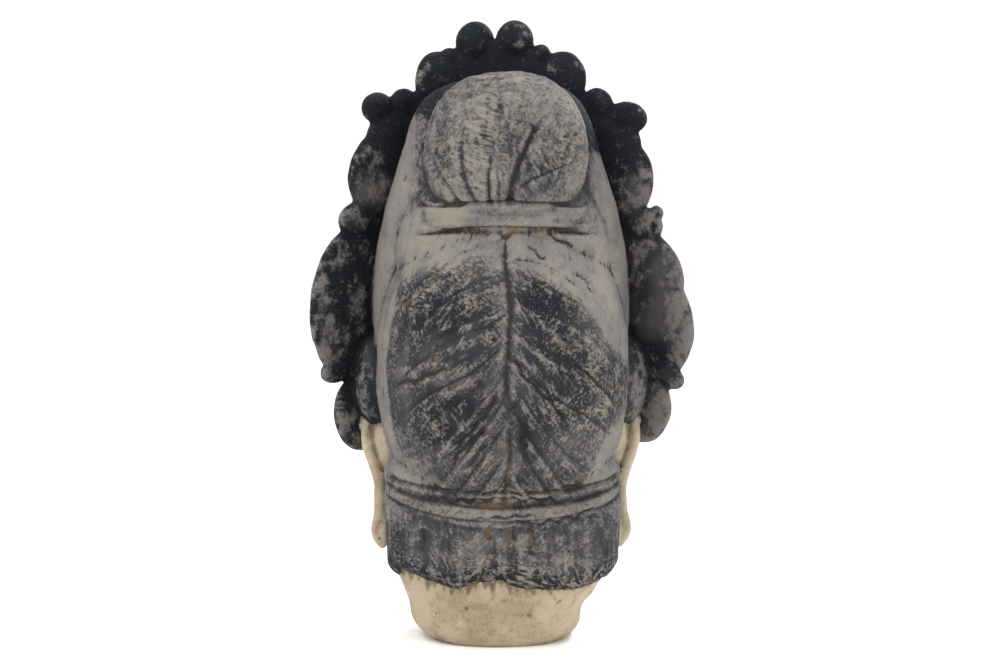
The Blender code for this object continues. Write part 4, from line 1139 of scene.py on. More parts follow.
def combed_hair(points):
    """Locks that lap over one another, falling away on both sides of the parting."""
    x, y, z = points.T
    under_tie = TIE_Z - TIE_HALF_HIGH
    over_fillet = FILLET[-1][2]
    upper, lower = LOCK_ENDS
    on = near_mass(points) * smoothstep(*BEHIND, y)
    on = on * smoothstep(under_tie + upper[0], under_tie + upper[1], z)
    on = on * smoothstep(over_fillet + lower[0], over_fillet + lower[1], z)
    fading = smoothstep(*LOCK_FADE, over_mass(x, z))
    number = lock_number(x, z) / LOCK_PITCH + np.where(x < 0, LOCK_SHIFT, 0.0)
    number = number + LOCK_WANDER * wander(x, z)
    mostly, more, turn = LOCK_UNEVEN
    uneven = mostly + more * np.sin(np.floor(number) * turn)
    lapped = LOCK_DEPTH * uneven * (lap(number) - LAP_LEVEL)
    width, deep = PARTING
    sway, close = PARTING_SWAY
    line = sway * np.sin(z * close)
    parted = -deep * hump(x - line, width)
    edge = smoothstep(0.0, PARTING_EDGE, np.abs(x - line))
    return on * (lapped * edge * fading + parted)


def tie_grooves(points):
    x, y, z = points.T
    showing, whole = TIE_ENDS
    within = smoothstep(TIE_HALF[0] + showing, TIE_HALF[0] + whole, np.abs(x))
    on = smoothstep(*BEHIND, y) * within
    total = np.zeros(len(x))
    for height, droop, deep, width in TIE_GROOVES:
        total -= deep * hump(z - height + droop * x * x, width)
    return on * total


def knot_folds(points):
    x, y, z = points.T
    on = smoothstep(*BEHIND, y) * smoothstep(KNOT_FOLD_FOOT - 2.0, KNOT_FOLD_FOOT + 2.0, z)
    power, least, more = FOLD_TAPER
    total = np.zeros(len(x))
    for foot, head, top, bow, width, deep in KNOT_FOLDS:
        t = (z - KNOT_FOLD_FOOT) / (top - KNOT_FOLD_FOOT)
        line = foot + (head - foot) * t + bow * 4.0 * t * (1.0 - t)
        taper = np.clip(1.0 - t, 0.0, 1.0) ** power
        total -= deep * taper * hump(x - line, width * (least + more * taper))
    return on * total


def fillet_lines(points):
    x, y, z = points.T
    side_height, nape_height = FILLET[0][2], FILLET[-1][2]
    above, below = FILLET_ENDS
    on = smoothstep(*BEHIND, y) * smoothstep(side_height + above[0], side_height + above[1], z)
    on = on * smoothstep(nape_height + below[0], nape_height + below[1], z)
    deep, width = FILLET_GROOVE
    total = np.zeros(len(x))
    for foot, bow in FILLET_LINES:
        total -= deep * hump(z - foot - bow * x * x, width)
    return on * total


def nape_flutes(points):
    """Shallow upright flutes in the hair over the nape."""
    x, y, z = points.T
    under_fillet = FILLET[-1][2]
    over_edge, under = FLUTE_FADE
    on = smoothstep(*BEHIND, y) * smoothstep(*over_edge, z - NAPE_LEVEL)
    on = on * smoothstep(*under, under_fillet - z)
    deep, close = NAPE_FLUTES
    sway, slow = FLUTE_SWAY
    return on * deep * (np.sin(x * close + sway * np.sin(x * slow)) - FLUTE_LEVEL)


def nape_drop(points):
    """How far the lower edge of that hair hangs below its level, or stops short of it."""
    x, y, z = points.T
    across, edge = np.array(NAPE_EDGE).T
    drop = np.interp(x, across, edge) - NAPE_LEVEL
    behind = smoothstep(*BEHIND, y)
    low, high = DROP_SPAN
    over_foot = smoothstep(NAPE_LEVEL + low[0], NAPE_LEVEL + low[1], z)
    return drop * behind * over_foot * smoothstep(NAPE_LEVEL + high[0], NAPE_LEVEL + high[1], z)


def volutes(points, normals):
    """Spirals cut into the front of the lobes; each point belongs to the nearest one."""
    x, y, z = points.T
    # Below the brow, only what stands in front of the ears is cut
    beside_ears = smoothstep(0.0, -10.0, y) * smoothstep(BROW_TOP + 5.0, BROW_TOP - 10.0, z)
    in_front = np.maximum(beside_ears, smoothstep(BROW_TOP - 4.0, BROW_TOP + 6.0, z))
    facing = smoothstep(0.1, 0.5, -normals[:, 1]) * in_front
    least = np.full(len(x), np.inf)
    total = np.zeros(len(x))
    for across, up, half_wide, half_high in VOLUTES:
        along = (np.abs(x) - across) / half_wide
        high = (z - up) / half_high
        reach = np.hypot(along, high)
        turn = np.arctan2(high, along)
        rounds = (half_wide + half_high) / (2.0 * VOLUTE_PITCH)
        spiral = 0.5 + 0.5 * np.cos(2.0 * math.pi * reach * rounds - turn)
        cut = -VOLUTE_DEPTH * spiral ** 1.5 * smoothstep(1.0, 0.85, reach)
        nearest = reach < least
        total = np.where(nearest, cut, total)
        least = np.minimum(least, reach)
    return facing * total


def ear_hollows(points, normals):
    x, y, z = points.T
    inner = EAR_SHELL[0][0]
    outer = EAR_LOBE[0][0] + EAR_LOBE[1][0]
    beside = np.abs(x - EAR_SHIFT)
    on_ear = smoothstep(inner - 4.0, inner, beside) * smoothstep(outer + 4.0, outer, beside)
    facing = smoothstep(0.3, 0.7, np.abs(normals[:, 0])) * on_ear
    total = np.zeros(len(x))
    for along, up, half_long, half_high, deep in EAR_HOLLOWS:
        total -= deep * cap(y - along, z - up, half_long, half_high, 0.6)
    return facing * total


def brow_strands(points):
    """Waves in the hair over the brow."""
    x, y, z = points.T
    under_band = BAND_Z[0]
    temple = HAIRLINE[-1][0]
    on = smoothstep(*IN_FRONT, y) * smoothstep(under_band - 2.0, under_band - 6.0, z)
    on = on * smoothstep(temple + 5.0, temple, np.abs(x))
    line = np.array(HAIRLINE)
    order = np.argsort(line[:, 0])
    height = np.interp(np.abs(x), line[order, 0], line[order, 2])
    depth = np.interp(np.abs(x), line[order, 0], line[order, 1])
    away = np.hypot(z - height, (y - depth) * 0.8)
    near = smoothstep(HAIRLINE_THICK + 2.5, HAIRLINE_THICK + 0.5, away)
    relief, close, parted = BROW_WAVES
    wave = np.sin((z - height) * close + 1.2 * np.sin(np.abs(x) * 0.16))
    return on * near * (relief * wave - 0.6 - parted * hump(x, 3.0))


def neck_creases(points):
    x, y, z = points.T
    deep, width = NECK_CREASE_CUT
    on = smoothstep(*IN_FRONT, y)
    return -deep * on * sum(hump(z - line - NECK_CREASE_SAG * x * x, width) for line in NECK_CREASES)


def finely_carved(points, normals):
    """What the solid has carved into it, and then what only this casting has."""
    behind = (combed_hair, tie_grooves, knot_folds, fillet_lines, nape_flutes)
    lines = behind + (brow_strands, neck_creases)
    fine = (tool_marks, bubbles, lumps, fine_strands, edge_undercut)
    depth = sum(line(points) for line in lines + fine)
    depth += volutes(points, normals) + ear_hollows(points, normals) + chips(points)
    base = smoothstep(0.0, FOOT_PLAIN, points[:, 2])
    points = points + normals * (depth * base)[:, None]
    points[:, 2] += nape_drop(points)
    return points


def stroke(points, course, width):
    """1 along a course of places across and up, fading out to its sides and its ends."""
    x, z = points[:, 0], points[:, 2]
    least = np.full(len(points), np.inf)
    along = np.zeros(len(points))
    legs = len(course) - 1
    for i, ((x0, z0), (x1, z1)) in enumerate(zip(course, course[1:])):
        dx, dz = x1 - x0, z1 - z0
        t = np.clip(((x - x0) * dx + (z - z0) * dz) / (dx * dx + dz * dz), 0.0, 1.0)
        gap = np.hypot(x - x0 - t * dx, z - z0 - t * dz)
        nearer = gap < least
        along = np.where(nearer, (i + t) / legs, along)
        least = np.minimum(least, gap)
    start, end = MARK_ENDS
    taper = smoothstep(*start, along) * smoothstep(*end, along)
    return taper * hump(least, width)


def tool_marks(points):
    """Every mark is cut into what faces backward, and its line trembles a little."""
    shaken = points.copy()
    x, y, z = points.T
    shaken[:, 0] += 0.7 * np.sin(z * 0.55) + 0.4 * np.sin(z * 1.3 + x)
    shaken[:, 2] += 0.7 * np.sin(x * 0.5 + 1.0)
    total = np.zeros(len(points))
    for width, deep, course in TOOL_MARKS:
        total -= deep * stroke(shaken, course, width)
    return total * smoothstep(*MARKED_BEHIND, y)


def bubbles(points):
    x, y, z = points.T
    total = np.zeros(len(x))
    for across, up, half, deep in BUBBLES:
        total -= deep * cap(x - across, z - up, half * 1.25, half, 0.6)
    return total * smoothstep(*MARKED_BEHIND, y)


def lumps(points):
    x, y, z = points.T
    total = np.zeros(len(x))
    for close, high in LUMPS:
        across = np.sin(x * close + 1.7 * np.sin(z * close * 0.6))
        up = np.sin(z * close * 0.9 + 1.4 * np.sin(y * close * 0.7) + 2.0)
        depth = np.sin(y * close * 1.1 + 1.5 * np.sin(x * close * 0.8) + 4.0)
        total += high * (across * up + up * depth) * 0.5
    return total * (1.0 - FACE_SMOOTHED * on_face(points))


def on_face(points):
    _, y, z = points.T
    forward, over_chin, under_hair = FACE_SPAN
    return smoothstep(*forward, y) * smoothstep(*over_chin, z) * smoothstep(*under_hair, z)


def fine_strands(points):
    """Drawn hairs: between the locks, up the topknot, and down the nape."""
    x, y, z = points.T
    strand = strand_places(points, hair_kind(points))
    across, along, _ = strand.T
    wave = np.sin(across * 1.15 + 1.1 * np.sin(along * 0.11) + 1.9 * np.sin(across * 0.21))
    # They come and go along their way
    coming = np.sin(along * 0.19 + across * 0.7) + 0.8 * np.sin(along * 0.07 - across * 0.31)
    broken = smoothstep(-0.4, 0.7, coming)
    return STRAND_RELIEF * wave * broken * smoothstep(*BEHIND, y) * smoothstep(*STRANDS_FOOT, z)


def edge_undercut(points):
    x, y, z = points.T
    below, width, deep = EDGE_UNDERCUT
    line = NAPE_LEVEL - below + EDGE_RAGGED * (np.sin(x * 0.43) + 0.6 * np.sin(x * 1.07 + 1.0)) * 0.6
    return -deep * hump(z - line, width) * smoothstep(0.0, 20.0, y)


def chips(points):
    """Small losses on the crown's backs and edges."""
    count, least, most, share = CHIPS
    lowest, middle, out = CHIPPED
    x, _, z = points.T
    random = np.random.default_rng(CHIP_SEED)
    crown = np.flatnonzero((z > lowest) & (np.hypot(x, z - middle) > out))
    total = np.zeros(len(points))
    for place in random.choice(crown, count, replace=False):
        half = random.uniform(least, most)
        gap = np.linalg.norm((points - points[place]) / CHIP_STRETCH, axis=1)
        total = np.minimum(total, -share * half * np.clip(1.0 - (gap / half) ** 2, 0.0, 1.0) ** 0.7)
    return total


# Which part of the head a place belongs to

MASS, KNOT, TIE, SHOULDER, FILLET_HAIR, NAPE = range(6)


def washed(x, z):
    """1 where the combed hair has kept its charcoal wash, fading to 0 round it."""
    across, foot, head = np.array(WASH).T
    over_foot = smoothstep(*WASH_EDGE, z - np.interp(x, across, foot))
    return over_foot * smoothstep(*WASH_EDGE, np.interp(x, across, head) - z)


def spread(points, places):
    """The sum of soft spots behind: middle across and up, half sizes, and strength."""
    x, _, z = points.T
    total = np.zeros(len(x))
    for across, up, wide, high, strength in places:
        total += strength * np.exp(-((x - across) / wide) ** 2 - ((z - up) / high) ** 2)
    return total


def hair_kind(points):
    """Which stretch of the hair a place is on, seen from behind."""
    x, _, z = points.T
    tie_head, tie_foot = (height - droop * x * x for height, droop, _, _ in TIE_GROOVES)
    head, foot = (FILLET[-1][2] + up + rise * x * x for up, rise in (FILLET_HEAD, FILLET_FOOT))
    kind = np.where(washed(x, z) > 0.5, MASS, SHOULDER)
    kind = np.where(z < head, FILLET_HAIR, kind)
    kind = np.where(z < foot, NAPE, kind)
    kind = np.where((z > tie_foot) & (np.abs(x) < TIE_HALF[0] + TIE_REACH), TIE, kind)
    return np.where((z > tie_head) & (np.abs(x) < TIE_HALF[0] + KNOT_REACH), KNOT, kind)


def painted_face_shade(points):
    """Painted shade in the lines and hollows of the face: lids, nostrils, mouth and brows."""
    x, _, z = points.T
    across = np.abs(x)
    on_lid = over_eye(across, EYE_ENDS)
    slit, lid, nostril, mouth, under_brow, under_lip = FACE_SHADE_LINES
    total = slit * on_lid * hump(z - eye_slit(across) + SLIT_UNDER, 1.5)
    total += lid * on_lid * hump(z - lid_crease(across), 1.8)
    total += nostril * hump(across - 0.6 * NOSE_WING[0], 3.4) * hump(z - NOSE_BASE, 2.4)
    parting, within = mouth_line(across)
    total += mouth * hump(z - parting, 1.4) * within
    beside_nose = smoothstep(BROW_INNER, BROW_INNER + 8.0, across) * smoothstep(60.0, 40.0, across)
    total += under_brow * beside_nose * hump(z - brow_line(across) + 5.0, 5.0)
    total += under_lip * hump(across, 12.0) * hump(z - MOUTH_Z - CHIN_HOLLOW[0], 3.4)
    return total * on_face(points)


def strand_places(points, kind):
    """For each place, how far it is across the strands and along them, and which bundle it is in."""
    x, y, z = points.T
    in_front, head_reach = ROUND_HEAD
    round_head = np.arctan2(x, y + in_front) * head_reach
    middle, fan_reach = KNOT_FAN
    fan = np.arctan2(x, z - middle) * fan_reach
    reach = np.hypot(x, z - middle)
    across = {
        MASS: lock_number(x, z) + HAIRS_WANDER * wander(x, z),
        KNOT: fan,
        TIE: z + 0.001 * x * x,
        SHOULDER: round_head + 0.12 * z,
        FILLET_HAIR: z - 0.0012 * x * x,
        NAPE: round_head,
    }
    along = {
        MASS: np.abs(x) * 0.8 - z * 0.5,
        KNOT: reach,
        TIE: round_head,
        SHOULDER: z,
        FILLET_HAIR: round_head,
        NAPE: z,
    }
    next_kind, next_side = BUNDLES_APART
    places = np.zeros((len(x), 3))
    for name in across:
        here = kind == name
        places[here, 0] = across[name][here]
        places[here, 1] = along[name][here]
        places[here, 2] = name * next_kind + np.where(x < 0, next_side, 0.0)[here]
    return places


def joined(forms):
    """These forms side by side in one, still overlapping; it uses them up."""
    whole = bmesh.new()
    for form in forms:
        piece = bpy.data.meshes.new("form")
        form.to_mesh(piece)
        form.free()
        whole.from_mesh(piece)
        bpy.data.meshes.remove(piece)
    return whole


def tree_of(forms):
    """A search tree over the skins of these forms, which it uses up."""
    whole = joined(forms)
    tree = BVHTree.FromBMesh(whole)
    whole.free()
    return tree


def distances(tree, points):
    return np.array([tree.find_nearest(Vector(point))[3] for point in points])


def coat_depth(points):
    """How far inside the painted parts a place is, and how much of it is crown.

    Below 0 it is on bare plaster.
    """
    skin = distances(tree_of(skin_forms()), points)
    hair = distances(tree_of(hair_forms()), points)
    crown = distances(tree_of(crown_forms()), points)
    inside = skin - np.minimum(hair, crown)
    # The paint of the nape hair ends at its lip, so the underside is bare
    over_lip = points[:, 2] - NAPE_LEVEL + LIP_PAINTED
    inside = np.where(points[:, 1] > 0.0, np.minimum(inside, over_lip), inside)
    behind_sheet = points[:, 1] - crown_sheet(points[:, 0], points[:, 2]) + CROWN_BARE
    on_crown = smoothstep(1.0, -1.0, crown - hair)
    in_front = np.minimum(inside, behind_sheet)
    return inside + (in_front - inside) * on_crown, on_crown


def darkness(points, on_crown):
    """How much bare charcoal shows: 0 is pale dust, and 1 is nearly black."""
    x, y, z = points.T
    kind = hair_kind(points)
    tone = np.choose(kind, KIND_TONES)
    hair_tone = KIND_TONES[SHOULDER] + (KIND_TONES[MASS] - KIND_TONES[SHOULDER]) * washed(x, z)
    tone = np.where((kind == MASS) | (kind == SHOULDER), hair_tone, tone)
    tone += spread(points, PATCHES)
    # The foot of the nape hair is darkest, and its two sides are dark too
    more, low = NAPE_FOOT_DARK
    tone += more * smoothstep(*low, z)
    more, aside, low = NAPE_SIDES_DARK
    tone += more * smoothstep(*aside, np.abs(x)) * smoothstep(*low, z)
    # Behind the crown: nearly black above, mottled to the sides
    above, greyer, paler_side = CROWN_TONES
    crown_tone = above + (greyer - above) * smoothstep(*CROWN_GREYS, z)
    pales = smoothstep(*CROWN_PALES, z)
    crown_tone = crown_tone - paler_side * smoothstep(*PALER_ACROSS, x) * pales
    crown_tone = crown_tone + spread(points, CROWN_PATCHES)
    tone = tone + (crown_tone - tone) * on_crown
    # Black too in the recess over the topknot, and further down on the -X side
    recess, slant = RECESS
    upward, forward = RECESS_EDGE
    over_knot = smoothstep(*upward, z - recess - slant * x) * smoothstep(*forward, y)
    tone = tone + (above - tone) * over_knot
    brow_tone, forward, low = BROW_TONE
    brow = smoothstep(*forward, y) * smoothstep(*low, z)
    return tone + (brow_tone - tone) * brow


def graininess(points, on_crown):
    """How strongly the paint is scratched and flecked: most at the foot of the nape hair."""
    grain = np.choose(hair_kind(points), KIND_GRAINS)
    more, low = NAPE_FOOT_GRAIN
    grain += more * smoothstep(*low, points[:, 2]) + spread(points, GRAINY)
    return grain + (CROWN_GRAIN - grain) * on_crown


# Casting


def modified(obj, kind, **settings):
    """The object's mesh after one modifier, which is then removed."""
    modifier = obj.modifiers.new(kind.title(), kind)
    for name, value in settings.items():
        setattr(modifier, name, value)
    graph = bpy.context.evaluated_depsgraph_get()
    mesh = bpy.data.meshes.new_from_object(obj.evaluated_get(graph))
    obj.modifiers.clear()
    old = obj.data
    obj.data = mesh
    bpy.data.meshes.remove(old)


def read_vectors(collection, name):
    values = np.empty(len(collection) * 3, np.float32)
    collection.foreach_get(name, values)
    return values.reshape(-1, 3).astype(np.float64)


def edge_ends(mesh):
    ends = np.empty(len(mesh.edges) * 2, np.int32)
    mesh.edges.foreach_get("vertices", ends)
    return ends.reshape(-1, 2)


def keep_outer_skin(obj):
    """The hollows left between the forms are filled, by keeping only the outermost skin."""
    mesh = obj.data
    ends = edge_ends(mesh)
    label = np.arange(len(mesh.vertices))
    while True:
        least = np.minimum(label[ends[:, 0]], label[ends[:, 1]])
        lower = label.copy()
        np.minimum.at(lower, ends[:, 0], least)
        np.minimum.at(lower, ends[:, 1], least)
        lower = lower[lower]
        if np.array_equal(lower, label):
            break
        label = lower
    names, counts = np.unique(label, return_counts=True)
    inner = np.flatnonzero(label != names[counts.argmax()])
    if len(inner):
        bm = bmesh.new()
        bm.from_mesh(mesh)
        bm.verts.ensure_lookup_table()
        bmesh.ops.delete(bm, geom=[bm.verts[i] for i in inner], context="VERTS")
        bm.to_mesh(mesh)
        bm.free()


def all_forms():
    """One mesh that holds every form, each facing outward."""
    forms = skin_forms() + hair_forms() + crown_forms()
    for form in forms:
        bmesh.ops.recalc_face_normals(form, faces=form.faces)
    whole = joined(forms)
    mesh = bpy.data.meshes.new("head")
    whole.to_mesh(mesh)
    whole.free()
    return mesh


def proud_by(mesh, passes):
    """How far each place stands proud of its surroundings, and below 0 how far it is sunk."""
    points = read_vectors(mesh.vertices, "co")
    normals = read_vectors(mesh.vertex_normals, "vector")
    first, second = edge_ends(mesh).T
    near = np.bincount(np.concatenate((first, second)), minlength=len(points))[:, None]
    smooth = points.copy()
    for _ in range(passes):
        total = np.empty_like(smooth)
        for axis in range(3):
            values = smooth[:, axis]
            total[:, axis] = np.bincount(first, values[second], len(points))
            total[:, axis] += np.bincount(second, values[first], len(points))
        smooth = 0.5 * smooth + 0.5 * total / near
    return np.einsum("ij,ij->i", points - smooth, normals)


def store(mesh, name, values):
    """Keeps one number, or one place, for every vertex."""
    if values.ndim == 1:
        mesh.attributes.new(name, "FLOAT", "POINT").data.foreach_set("value", values.astype(np.float32))
    else:
        held = mesh.attributes.new(name, "FLOAT_VECTOR", "POINT")
        held.data.foreach_set("vector", values.astype(np.float32).ravel())


def rough_cast(settings):
    """All the forms as one closed skin, softened, with the place that each point was cast at."""
    head = bpy.data.objects.new("crowned_head", all_forms())
    bpy.context.scene.collection.objects.link(head)
    modified(head, "REMESH", mode="VOXEL", voxel_size=settings.grid, adaptivity=0.0)
    keep_outer_skin(head)
    modified(head, "SMOOTH", factor=0.5, iterations=settings.softening)
    points = read_vectors(head.data.vertices, "co")
    normals = read_vectors(head.data.vertex_normals, "vector")
    store(head.data, "cast_at", points)
    head.data.vertices.foreach_set("co", finely_carved(points, normals).astype(np.float32).ravel())
    head.data.update()
    return head


def saw_foot(obj):
    """The foot is sawn off level and closed, at the height of 0."""
    bm = bmesh.new()
    bm.from_mesh(obj.data)
    cut = bmesh.ops.bisect_plane(
        bm,
        geom=bm.verts[:] + bm.edges[:] + bm.faces[:],
        dist=1e-6,
        plane_co=(0.0, 0.0, FOOT_CUT),
        plane_no=(0.0, 0.0, 1.0),
        clear_inner=True,
    )
    rim = [item for item in cut["geom_cut"] if isinstance(item, bmesh.types.BMEdge)]
    bmesh.ops.contextual_create(bm, geom=rim)
    bmesh.ops.triangulate(bm, faces=bm.faces[:])
    bmesh.ops.recalc_face_normals(bm, faces=bm.faces[:])
    bm.to_mesh(obj.data)
    bm.free()


def fit_to_solid(mesh):
    """From parts of the height to metres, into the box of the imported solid."""
    points = read_vectors(mesh.vertices, "co")
    low, high = (np.array(corner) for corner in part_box(SOLID))
    low, high = low + (BOX_ROOM, BOX_ROOM, 0.0), high - BOX_ROOM
    least, most = points.min(axis=0), points.max(axis=0)
    placed = low + (points - least) * (high - low) / (most - least)
    mesh.vertices.foreach_set("co", placed.astype(np.float32).ravel())
    mesh.update()


def cast_head(settings):
    head = rough_cast(settings)
    share = settings.triangles / (2 * len(head.data.polygons))
    if share < 1.0:
        modified(head, "DECIMATE", decimate_type="COLLAPSE", ratio=share, use_collapse_triangulate=True)
    saw_foot(head)
    mesh = head.data
    places = read_vectors(mesh.attributes["cast_at"].data, "vector")
    # On the face the dirt and painted shade in its hollows, and its wear, are lessened
    face_eased = 1.0 - FACE_EASING * on_face(places)
    for name, passes, full in zip(("ridge", "basin"), PROUD_PASSES, PROUD_FULL):
        store(mesh, name, face_eased * np.clip(proud_by(mesh, passes) / full, -1.0, 1.0))
    coat, on_crown = coat_depth(places)
    store(mesh, "coat", coat)
    store(mesh, "crown", on_crown)
    store(mesh, "tone", darkness(places, on_crown))
    store(mesh, "grain", graininess(places, on_crown))
    store(mesh, "earthy", spread(places, EARTHY) * smoothstep(*BEHIND, places[:, 1]))
    # Painted shade in the lines and hollows of the face
    store(mesh, "washed", painted_face_shade(places))
    metres = (CAD_BOX[1].z - CAD_BOX[0].z) / PARTS_IN_HEIGHT
    across, along, bundle = (strand_places(places, hair_kind(places)) * metres).T
    store(mesh, "strand", np.stack([across, bundle, along], axis=1))
    mesh.attributes.remove(mesh.attributes["cast_at"])
    fit_to_solid(mesh)
    mesh.polygons.foreach_set("use_smooth", np.ones(len(mesh.polygons), bool))
    return head


# Paint


# Waves to the metre of the noises that the paint is worked up from, from coarse to fine,
# and of the drawn hairs
CLOUD_WAVES = 24.0
DRIFT_WAVES = 41.0
MOTTLE_WAVES = 130.0
SPECKLE_WAVES = 520.0
GRIT_WAVES = 1700.0
HAIR_WAVES = 520.0
# Pits and pinholes to the metre
PITS = 95.0
PINHOLES = 260.0
# How a noise is stretched for drifts of dust, and for drawn hairs
DRIFT_STRETCH = (1.0, 1.0, 0.6)
HAIR_STRETCH = (1.0, 0.14, 1.0)
# How a brush stroke is drawn out: across it, through it and along it
STROKE_STRETCH = (1.0, 2.0, 5.5)
# How much light dry paint and plaster throw back
SHEEN = 0.16


class Value:
    """A socket that carries a number; arithmetic on it adds the Math nodes for it."""

    def __init__(self, paint, socket):
        self.paint = paint
        self.socket = socket

    def _math(self, operation, first, second):
        node = self.paint.node("ShaderNodeMath", {"operation": operation}, {0: first, 1: second})
        return Value(self.paint, node.outputs[0])

    def __add__(self, other):
        return self._math("ADD", self, other)

    def __radd__(self, other):
        return self._math("ADD", other, self)

    def __sub__(self, other):
        return self._math("SUBTRACT", self, other)

    def __rsub__(self, other):
        return self._math("SUBTRACT", other, self)

    def __mul__(self, other):
        return self._math("MULTIPLY", self, other)

    def __rmul__(self, other):
        return self._math("MULTIPLY", other, self)

    def __neg__(self):
        return self._math("MULTIPLY", self, -1.0)

    def rise(self, low, high):
        """0 up to the low value, 1 from the high one, and a smooth rise between them."""
        node = self.paint.node(
            "ShaderNodeMapRange",
            {"interpolation_type": "SMOOTHSTEP"},
            {"Value": self, "From Min": low, "From Max": high},
        )
        return Value(self.paint, node.outputs[0])


class Paint:
    """One material, and what adds nodes to it."""

    def __init__(self, name):
        self.material = bpy.data.materials.new(name)
        self.material.use_nodes = True
        self.tree = self.material.node_tree
        self.tree.nodes.clear()

    def node(self, kind, settings=None, sockets=None):
        """Adds a node: its settings first, then the value or the link of each socket."""
        node = self.tree.nodes.new(kind)
        for name, value in (settings or {}).items():
            setattr(node, name, value)
        for key, value in (sockets or {}).items():
            source = value.socket if isinstance(value, Value) else value
            if isinstance(source, bpy.types.NodeSocket):
                self.tree.links.new(source, node.inputs[key])
            else:
                node.inputs[key].default_value = source
        return node

    def kept(self, name):
        """A number that the casting holds at every vertex."""
        return Value(self, self.node("ShaderNodeAttribute", {"attribute_name": name}).outputs["Fac"])

    def kept_place(self, name):
        return self.node("ShaderNodeAttribute", {"attribute_name": name}).outputs["Vector"]

    def stretched(self, place, by):
        node = self.node("ShaderNodeVectorMath", {"operation": "MULTIPLY"}, {0: place, 1: by})
        return node.outputs[0]

    def noise(self, place, waves, detail=3.0, rough=0.55):
        """Cloudy noise with this many waves to the metre."""
        sockets = {"Vector": place, "Scale": waves, "Detail": detail, "Roughness": rough}
        return Value(self, self.node("ShaderNodeTexNoise", {}, sockets).outputs["Fac"])

    def spots(self, place, cells):
        """Distance to the nearest of scattered points, with this many cells to the metre."""
        sockets = {"Vector": place, "Scale": cells, "Randomness": 1.0}
        return Value(self, self.node("ShaderNodeTexVoronoi", {}, sockets).outputs["Distance"])

    def strokes(self, place, turn, waves):
        """Noise drawn out into strokes that run at this turn from upright."""
        sockets = {"Vector": place, "Rotation": (0.0, turn, 0.0), "Scale": STROKE_STRETCH}
        laid = self.node("ShaderNodeMapping", {"vector_type": "TEXTURE"}, sockets).outputs[0]
        return self.noise(laid, waves, 3.0, 0.6)

    def blend(self, first, second, share):
        return first + (second - first) * share

    def mix(self, first, second, share):
        node = self.node("ShaderNodeMix", {"data_type": "RGBA"}, {0: share, 6: first, 7: second})
        return node.outputs[2]

    def surface(self, colour, roughness, height, depth):
        """Ends the material in a matt surface, embossed by a height."""
        bump = self.node("ShaderNodeBump", {}, {"Distance": depth, "Strength": 1.0, "Height": height})
        sockets = {"Base Color": colour, "Roughness": roughness, "Normal": bump.outputs[0]}
        shader = self.node("ShaderNodeBsdfPrincipled", {}, sockets)
        shader.inputs["Specular IOR Level"].default_value = SHEEN
        self.node("ShaderNodeOutputMaterial", {}, {"Surface": shader.outputs[0]})
        return self.material


def rgba(colour):
    return (*colour, 1.0)


